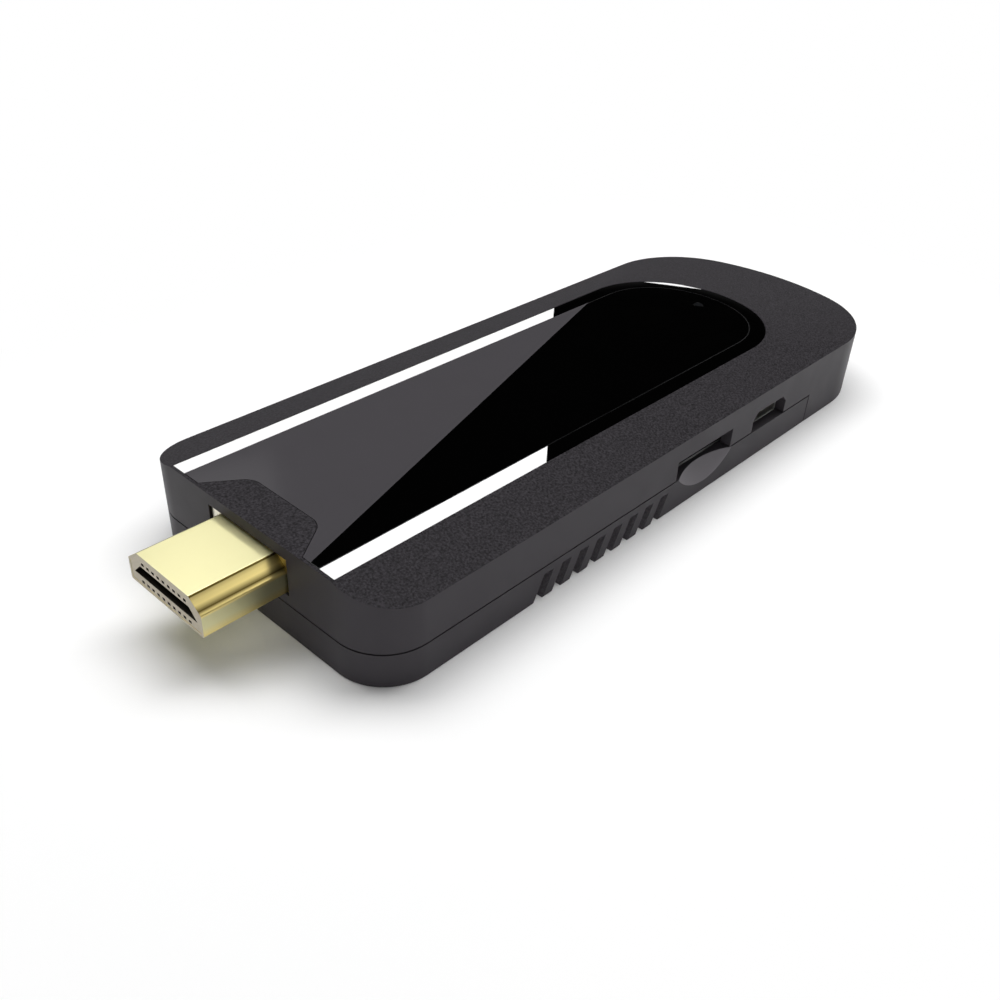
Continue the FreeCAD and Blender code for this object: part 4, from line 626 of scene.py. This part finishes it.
class StickPanel(bpy.types.Operator):
    """Makes the gloss panel: a band with white stripes round a field that is part grey, part black, and
    a painted white reflection at the far edge.
    """

    bl_idname = "stick.panel"
    bl_label = "Gloss panel"

    def execute(self, context):
        """Builds the plate, cuts its notch and hole, and colours its stripes, its wedge and its painted
        reflection.
        """
        sizes = context.scene.stick_sizes
        colours = context.scene.stick_colours
        form = self.plate(sizes)
        form = cut_with(form, self.pad_notch(sizes))
        form = cut_with(form, self.window_hole(sizes))
        self.colour_zones(form, sizes)
        soften(form, sizes.panel_edge)
        finishes = [
            gloss_acrylic("black_acrylic", colours.panel, specular=0.25),
            gloss_acrylic("black_acrylic_rim", colours.panel, specular=0.1),
            gloss_acrylic("white_stripes_and_painted_reflection", colours.stripe, specular=0.3, roughness=0.15),
            gloss_acrylic("graphite_wedge_in_acrylic", colours.wedge, specular=0.05, roughness=0.1),
            gloss_acrylic("milled_line_in_acrylic", colours.groove, specular=0.12, roughness=0.3),
        ]
        finished(form, "panel_plate", finishes, "stick", ["top_panel"])
        return {"FINISHED"}

    def corner_centre(self, sizes):
        """Centre of the corner arc on the far side, where it runs into the shallow arc."""
        apart = sizes.panel_nose - sizes.panel_corner
        across = PANEL_HIGH.y - sizes.panel_corner
        along = math.sqrt(apart ** 2 - across ** 2)
        return Vector((PANEL_HIGH.x - sizes.panel_nose + along, across, 0))

    def plate(self, sizes):
        """The plate with its band, fine line and field, closed below."""
        half = PANEL_HIGH.y
        top = PANEL_HIGH.z
        corner = sizes.panel_corner
        ahead = PANEL_LOW.x - sizes.rim_width - OVERSHOOT
        centre_x = PANEL_HIGH.x - sizes.panel_nose
        corner_x = self.corner_centre(sizes).x
        turn = math.atan2(half - corner, corner_x - centre_x)
        form = bmesh.new()
        start = form.verts.new((ahead, -half, top))
        last = form.verts.new((corner_x, -half, top))
        form.edges.new((start, last))
        for x, y, angle, steps in ((corner_x, corner - half, math.pi / 2 - turn, CORNER_STEPS),
                                   (centre_x, 0.0, 2 * turn, NOSE_STEPS),
                                   (corner_x, half - corner, math.pi / 2 - turn, CORNER_STEPS)):
            made = bmesh.ops.spin(form, geom=[last], cent=(x, y, top), axis=(0, 0, 1), angle=angle,
                                  steps=steps)
            last = only_verts(made["geom_last"])[0]
        end = form.verts.new((ahead, half, top))
        form.edges.new((last, end))
        form.edges.new((end, start))
        bmesh.ops.remove_doubles(form, verts=form.verts, dist=MERGE_GAP)
        bmesh.ops.contextual_create(form, geom=form.edges[:])
        bmesh.ops.recalc_face_normals(form, faces=form.faces[:])
        field = form.faces[:][0]
        if field.normal.z < 0:
            bmesh.ops.reverse_faces(form, faces=[field])
        band = bmesh.ops.inset_region(form, faces=[field], thickness=sizes.rim_width,
                                      use_even_offset=True, use_boundary=True)["faces"]
        for face in band:
            face.material_index = RIM
        inner = set(field.verts)
        rim = [vert for vert in form.verts if vert not in inner]
        bmesh.ops.translate(form, verts=rim, vec=(0, 0, -sizes.rim_drop))
        for depth in (-sizes.groove_depth, sizes.groove_depth):
            ring = bmesh.ops.inset_region(form, faces=[field], thickness=sizes.groove_width,
                                          depth=depth, use_even_offset=True)["faces"]
            for face in ring:
                face.material_index = LINE
        bmesh.ops.bisect_plane(form, geom=form.verts[:] + form.edges[:] + form.faces[:],
                               plane_co=(PANEL_LOW.x, 0, 0), plane_no=(-1, 0, 0), clear_outer=True)
        border = [edge for edge in form.edges if edge.is_boundary]
        walls = bmesh.ops.extrude_edge_only(form, edges=border)["geom"]
        for vert in only_verts(walls):
            vert.co.z = PANEL_LOW.z
        bmesh.ops.holes_fill(form, edges=[edge for edge in form.edges if edge.is_boundary], sides=0)
        bmesh.ops.recalc_face_normals(form, faces=form.faces[:])
        return form

    def pad_notch(self, sizes):
        """The trapezoid taken out at the front, with two rounded corners."""
        form = bmesh.new()
        front = PANEL_LOW.x - OVERSHOOT
        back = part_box("upper_housing")[0].x + sizes.pad_depth
        slope = (sizes.pad_front - sizes.pad_back) / 2 / sizes.pad_depth
        narrow = sizes.pad_back / 2
        wide = narrow + slope * (back - front)
        bottom = [form.verts.new((x, y, PANEL_LOW.z - OVERSHOOT))
                  for x, y in ((front, -wide), (back, -narrow), (back, narrow), (front, wide))]
        face = form.faces.new(bottom)
        raised = bmesh.ops.extrude_face_region(form, geom=[face])["geom"]
        bmesh.ops.translate(form, verts=only_verts(raised),
                            vec=(0, 0, PANEL_HIGH.z - PANEL_LOW.z + 2 * OVERSHOOT))
        corners = [edge for edge in form.edges
                   if all(abs(vert.co.x - back) < TOUCH_GAP for vert in edge.verts)
                   and abs(edge.verts[0].co.z - edge.verts[1].co.z) > TOUCH_GAP]
        bmesh.ops.bevel(form, geom=corners, offset=sizes.pad_round / 2, offset_type="OFFSET",
                        segments=PAD_STEPS, profile=0.5, affect="EDGES", material=-1)
        bmesh.ops.recalc_face_normals(form, faces=form.faces[:])
        return form

    def window_hole(self, sizes):
        """A rod that cuts the round hole for the light pipe."""
        form = bmesh.new()
        middle = (PIPE_LOW + PIPE_HIGH) / 2
        thickness = PANEL_HIGH.z - PANEL_LOW.z
        bmesh.ops.create_cone(form, cap_ends=True, segments=WINDOW_STEPS, radius1=sizes.window_hole,
                              radius2=sizes.window_hole, depth=2 * (thickness + OVERSHOOT),
                              matrix=Matrix.Translation((middle.x, middle.y, PANEL_LOW.z)))
        return form

    def colour_zones(self, form, sizes):
        """Cuts the upper faces along each zone's edge and gives what lies past it the zone's finish."""
        crescent = Vector((math.cos(sizes.crescent_turn), math.sin(sizes.crescent_turn), 0))
        reach = sizes.panel_corner - sizes.crescent_depth
        stripe_end = Vector((sizes.stripe_end, 0, 0))
        wedge_start = Vector((sizes.wedge_start, 0, 0))
        crescent_start = self.corner_centre(sizes) + crescent * reach
        # Each zone has a point on its edge, the way past it, the finishes under it and its own.
        for point, past, under, zone_finish in (
                (stripe_end, Vector((-1, sizes.stripe_slope, 0)), (RIM,), WHITE_ZONE),
                (wedge_start, Vector((-sizes.wedge_slope, 1, 0)), (FIELD, LINE), GREY_ZONE),
                # The crescent at the far edge is a painted reflection, in the stripes' white.
                (crescent_start, crescent, (RIM,), WHITE_ZONE)):
            faces = [face for face in form.faces
                     if face.normal.z > PARTLY and face.material_index in under]
            edges = dict.fromkeys(edge for face in faces for edge in face.edges)
            verts = dict.fromkeys(vert for face in faces for vert in face.verts)
            bmesh.ops.bisect_plane(form, geom=[*verts, *edges, *faces], plane_co=point, plane_no=past)
            for face in form.faces:
                printable = face.normal.z > PARTLY and face.material_index in under
                if printable and (face.calc_center_median() - point).dot(past) > 0:
                    face.material_index = zone_finish


class StickPlug(bpy.types.Operator):
    """Makes the plug's folded gold shell with its bare cut edge and painted light and shade, and its
    insulator with painted shade in its slot.
    """

    bl_idname = "stick.plug"
    bl_label = "Plug"

    def execute(self, context):
        """Dresses the plug's shell and its insulator."""
        colours = context.scene.stick_colours
        gold = gold_sleeve(colours)
        beige = colours.insulator
        edge = moulded("bare_cut_edge", beige, roughness=0.5, grain=0.2, strength=0.05)
        face = moulded("glass_filled_insulator", beige, roughness=0.5, grain=0.25, strength=0.1)
        # The slot's walls are the insulator darkened with painted shade.
        slot = moulded("insulator_with_painted_shade_in_slot", colours.slot, roughness=0.6, grain=0.25, strength=0.1)
        for node, name, finishes, kind in (
                ("plug_shell", "plug_sleeve", [gold, edge], "gold_plated_steel"),
                ("plug_insulator", "plug_core", [slot, face], "beige_plastic")):
            form = cad_copy(node)
            if node == "plug_shell":
                soften(form, context.scene.stick_sizes.plug_edge, PLUG_ROUND_ANGLE)
            tip = min(vert.co.x for vert in form.verts)
            for part in form.faces:
                at_tip = part.calc_center_median().x < tip + TOUCH_GAP and part.normal.x < -STRAIGHT
                part.material_index = PLUG_TIP if at_tip else PLUG_BODY
            finished(form, name, finishes, "stick", [node])
        return {"FINISHED"}


class StickSpring(bpy.types.Operator):
    """Makes the card socket's spring as a wound wire."""

    bl_idname = "stick.spring"
    bl_label = "Card spring"

    def execute(self, context):
        """Winds the spring."""
        sizes = context.scene.stick_sizes
        middle = (SPRING_LOW + SPRING_HIGH) / 2
        wire = sizes.spring_wire / 2
        radius = (SPRING_HIGH.x - SPRING_LOW.x) / 2 - wire
        run = SPRING_HIGH.y - SPRING_LOW.y - 2 * wire
        form = bmesh.new()
        ring = bmesh.ops.create_circle(form, segments=WIRE_STEPS, radius=wire)["verts"]
        steps = sizes.spring_turns * TURN_STEPS
        start = Vector((middle.x + radius, SPRING_LOW.y + wire, middle.z))
        bmesh.ops.translate(form, verts=ring, vec=start)
        bmesh.ops.spin(form, geom=form.edges[:], cent=(middle.x, start.y, middle.z),
                       axis=(0, 1, 0), dvec=(0, run / steps, 0),
                       angle=sizes.spring_turns * 2 * math.pi, steps=steps)
        bmesh.ops.holes_fill(form, edges=[edge for edge in form.edges if edge.is_boundary], sides=0)
        bmesh.ops.recalc_face_normals(form, faces=form.faces[:])
        steel = plated("spring_steel_wire", linear("A6A8AC"), roughness=0.3, grain=0.2)
        piece = finished(form, "spring_coil", [steel], "stick", ["card_spring"])
        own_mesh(piece)
        return {"FINISHED"}


class StickInsides(bpy.types.Operator):
    """Gives every CAD node that shows as it is its own finish."""

    bl_idname = "stick.insides"
    bl_label = "Board, ports and contacts"

    def execute(self, context):
        """Assigns the finishes."""
        for node, material in node_finishes(context.scene.stick_colours).items():
            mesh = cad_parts[node].data
            mesh.materials.clear()
            mesh.materials.append(material)
        return {"FINISHED"}


class StickStage(bpy.types.Operator):
    """Sets the pale floor, the soft studio light and the camera."""

    bl_idname = "stick.stage"
    bl_label = "Stage"

    def execute(self, context):
        """Makes the stage."""
        self.floor(context)
        self.world(context)
        self.lamps(context)
        self.camera(context)
        context.scene.view_settings.view_transform = "Standard"
        return {"FINISHED"}

    def floor(self, context):
        """A wide plain floor that takes the stick's shadow and is plain white away from it."""
        form = bmesh.new()
        bmesh.ops.create_grid(form, x_segments=1, y_segments=1, size=FLOOR_REACH)
        mesh = bpy.data.meshes.new("floor")
        form.to_mesh(mesh)
        form.free()
        piece = bpy.data.objects.new("floor", mesh)
        context.scene.collection.objects.link(piece)
        material = bpy.data.materials.new("matt_floor")
        material.use_nodes = True
        tree = material.node_tree
        tree.nodes.clear()
        rays = add_node(tree, "ShaderNodeLightPath")
        seen = add_node(tree, "ShaderNodeMath", {"operation": "MAXIMUM"},
                        {0: rays.outputs["Is Camera Ray"], 1: rays.outputs["Is Glossy Ray"]})
        seen = add_node(tree, "ShaderNodeMath", {"operation": "MAXIMUM"},
                        {0: seen.outputs[0], 1: rays.outputs["Is Transmission Ray"]})
        spot = add_node(tree, "ShaderNodeTexCoord")
        spot = add_node(tree, "ShaderNodeVectorMath", {"operation": "ABSOLUTE"},
                        {0: spot.outputs["Object"]})
        spot = add_node(tree, "ShaderNodeVectorMath", {"operation": "SUBTRACT"},
                        {0: spot.outputs[0], 1: CAD_HIGH})
        spot = add_node(tree, "ShaderNodeVectorMath", {"operation": "MAXIMUM"},
                        {0: spot.outputs[0], 1: (0, 0, 0)})
        away = add_node(tree, "ShaderNodeVectorMath", {"operation": "LENGTH"}, {0: spot.outputs[0]})
        share = add_node(tree, "ShaderNodeMapRange", {"interpolation_type": "SMOOTHSTEP"},
                         {"Value": away.outputs["Value"], "From Min": SHADOW_REACH,
                          "From Max": WHITE_REACH, "To Min": WHITE_SHARE, "To Max": 1.0})
        share = add_node(tree, "ShaderNodeMath", {"operation": "MULTIPLY"},
                         {0: seen.outputs[0], 1: share.outputs[0]})
        matt = add_node(tree, "ShaderNodeBsdfDiffuse",
                        inputs={"Color": context.scene.stick_colours.floor})
        white = add_node(tree, "ShaderNodeEmission", inputs={"Strength": 1.0})
        mixed = add_node(tree, "ShaderNodeMixShader",
                         inputs={0: share.outputs[0], 1: matt.outputs[0], 2: white.outputs[0]})
        add_node(tree, "ShaderNodeOutputMaterial", inputs={"Surface": mixed.outputs[0]})
        mesh.materials.append(material)

    def world(self, context):
        """Pale at the horizon and dark overhead, like a studio with low walls, and white behind."""
        world = bpy.data.worlds.new("studio")
        world.use_nodes = True
        context.scene.world = world
        tree = world.node_tree
        tree.nodes.clear()
        spot = add_node(tree, "ShaderNodeTexCoord")
        parts = add_node(tree, "ShaderNodeSeparateXYZ", inputs={"Vector": spot.outputs["Generated"]})
        level = add_node(tree, "ShaderNodeMapRange", {"interpolation_type": "SMOOTHSTEP"},
                         {"Value": parts.outputs["Z"], "From Min": GLOW_END, "From Max": DARK_START,
                          "To Min": GLOW_LEVEL, "To Max": 0.0})
        rays = add_node(tree, "ShaderNodeLightPath")
        shown = add_node(tree, "ShaderNodeMath", {"operation": "MAXIMUM"},
                         {0: level.outputs["Result"], 1: rays.outputs["Is Camera Ray"]})
        glow = add_node(tree, "ShaderNodeBackground", inputs={"Color": linear("FFFFFF"),
                                                              "Strength": shown.outputs[0]})
        add_node(tree, "ShaderNodeOutputWorld", inputs={"Surface": glow.outputs[0]})

    def lamps(self, context):
        """Soft boxes: a long one overhead, a small one that the plug mirrors and a fill."""
        for name, (place, target, size, power) in LAMPS.items():
            lamp = bpy.data.lights.new(name, "AREA")
            lamp.shape = "RECTANGLE"
            lamp.size, lamp.size_y = size
            lamp.energy = power
            item = bpy.data.objects.new(name, lamp)
            item.location = place
            item.rotation_euler = (Vector(target) - Vector(place)).to_track_quat("-Z", "Y").to_euler()
            context.scene.collection.objects.link(item)

    def camera(self, context):
        """The photograph's viewpoint."""
        data = bpy.data.cameras.new("camera")
        data.sensor_width = CAMERA_SENSOR
        data.lens = CAMERA_LENS
        data.clip_start = CLIP_NEAR
        data.clip_end = CLIP_FAR
        item = bpy.data.objects.new("camera", data)
        item.location = CAMERA_PLACE
        item.rotation_euler = Euler([math.radians(angle) for angle in CAMERA_TURNS])
        context.scene.collection.objects.link(item)
        context.scene.camera = item


class StickSidebar(bpy.types.Panel):
    """Lists the stick's operators, sizes and colours."""

    bl_idname = "VIEW3D_PT_stick"
    bl_label = "Streaming stick"
    bl_space_type = "VIEW_3D"
    bl_region_type = "UI"
    bl_category = "Stick"

    def draw(self, context):
        """Draws the list."""
        for maker in MAKERS:
            self.layout.operator(maker.bl_idname)
        for group in (context.scene.stick_sizes, context.scene.stick_colours):
            box = self.layout.box()
            for name in group.__annotations__:
                box.prop(group, name)


MAKERS = (StickShells, StickPanel, StickPlug, StickSpring, StickInsides, StickStage)
CLASSES = (StickSizes, StickColours, *MAKERS, StickSidebar)


def register():
    """Registers the classes and their properties."""
    for item in CLASSES:
        bpy.utils.register_class(item)
    bpy.types.Scene.stick_sizes = PointerProperty(type=StickSizes)
    bpy.types.Scene.stick_colours = PointerProperty(type=StickColours)


def unregister():
    """Removes the classes and their properties."""
    del bpy.types.Scene.stick_colours
    del bpy.types.Scene.stick_sizes
    for item in reversed(CLASSES):
        bpy.utils.unregister_class(item)


def main():
    """Makes every piece in order."""
    register()
    bpy.ops.stick.shells()
    bpy.ops.stick.panel()
    bpy.ops.stick.plug()
    bpy.ops.stick.spring()
    bpy.ops.stick.insides()
    bpy.ops.stick.stage()


if __name__ == "__main__":
    main()
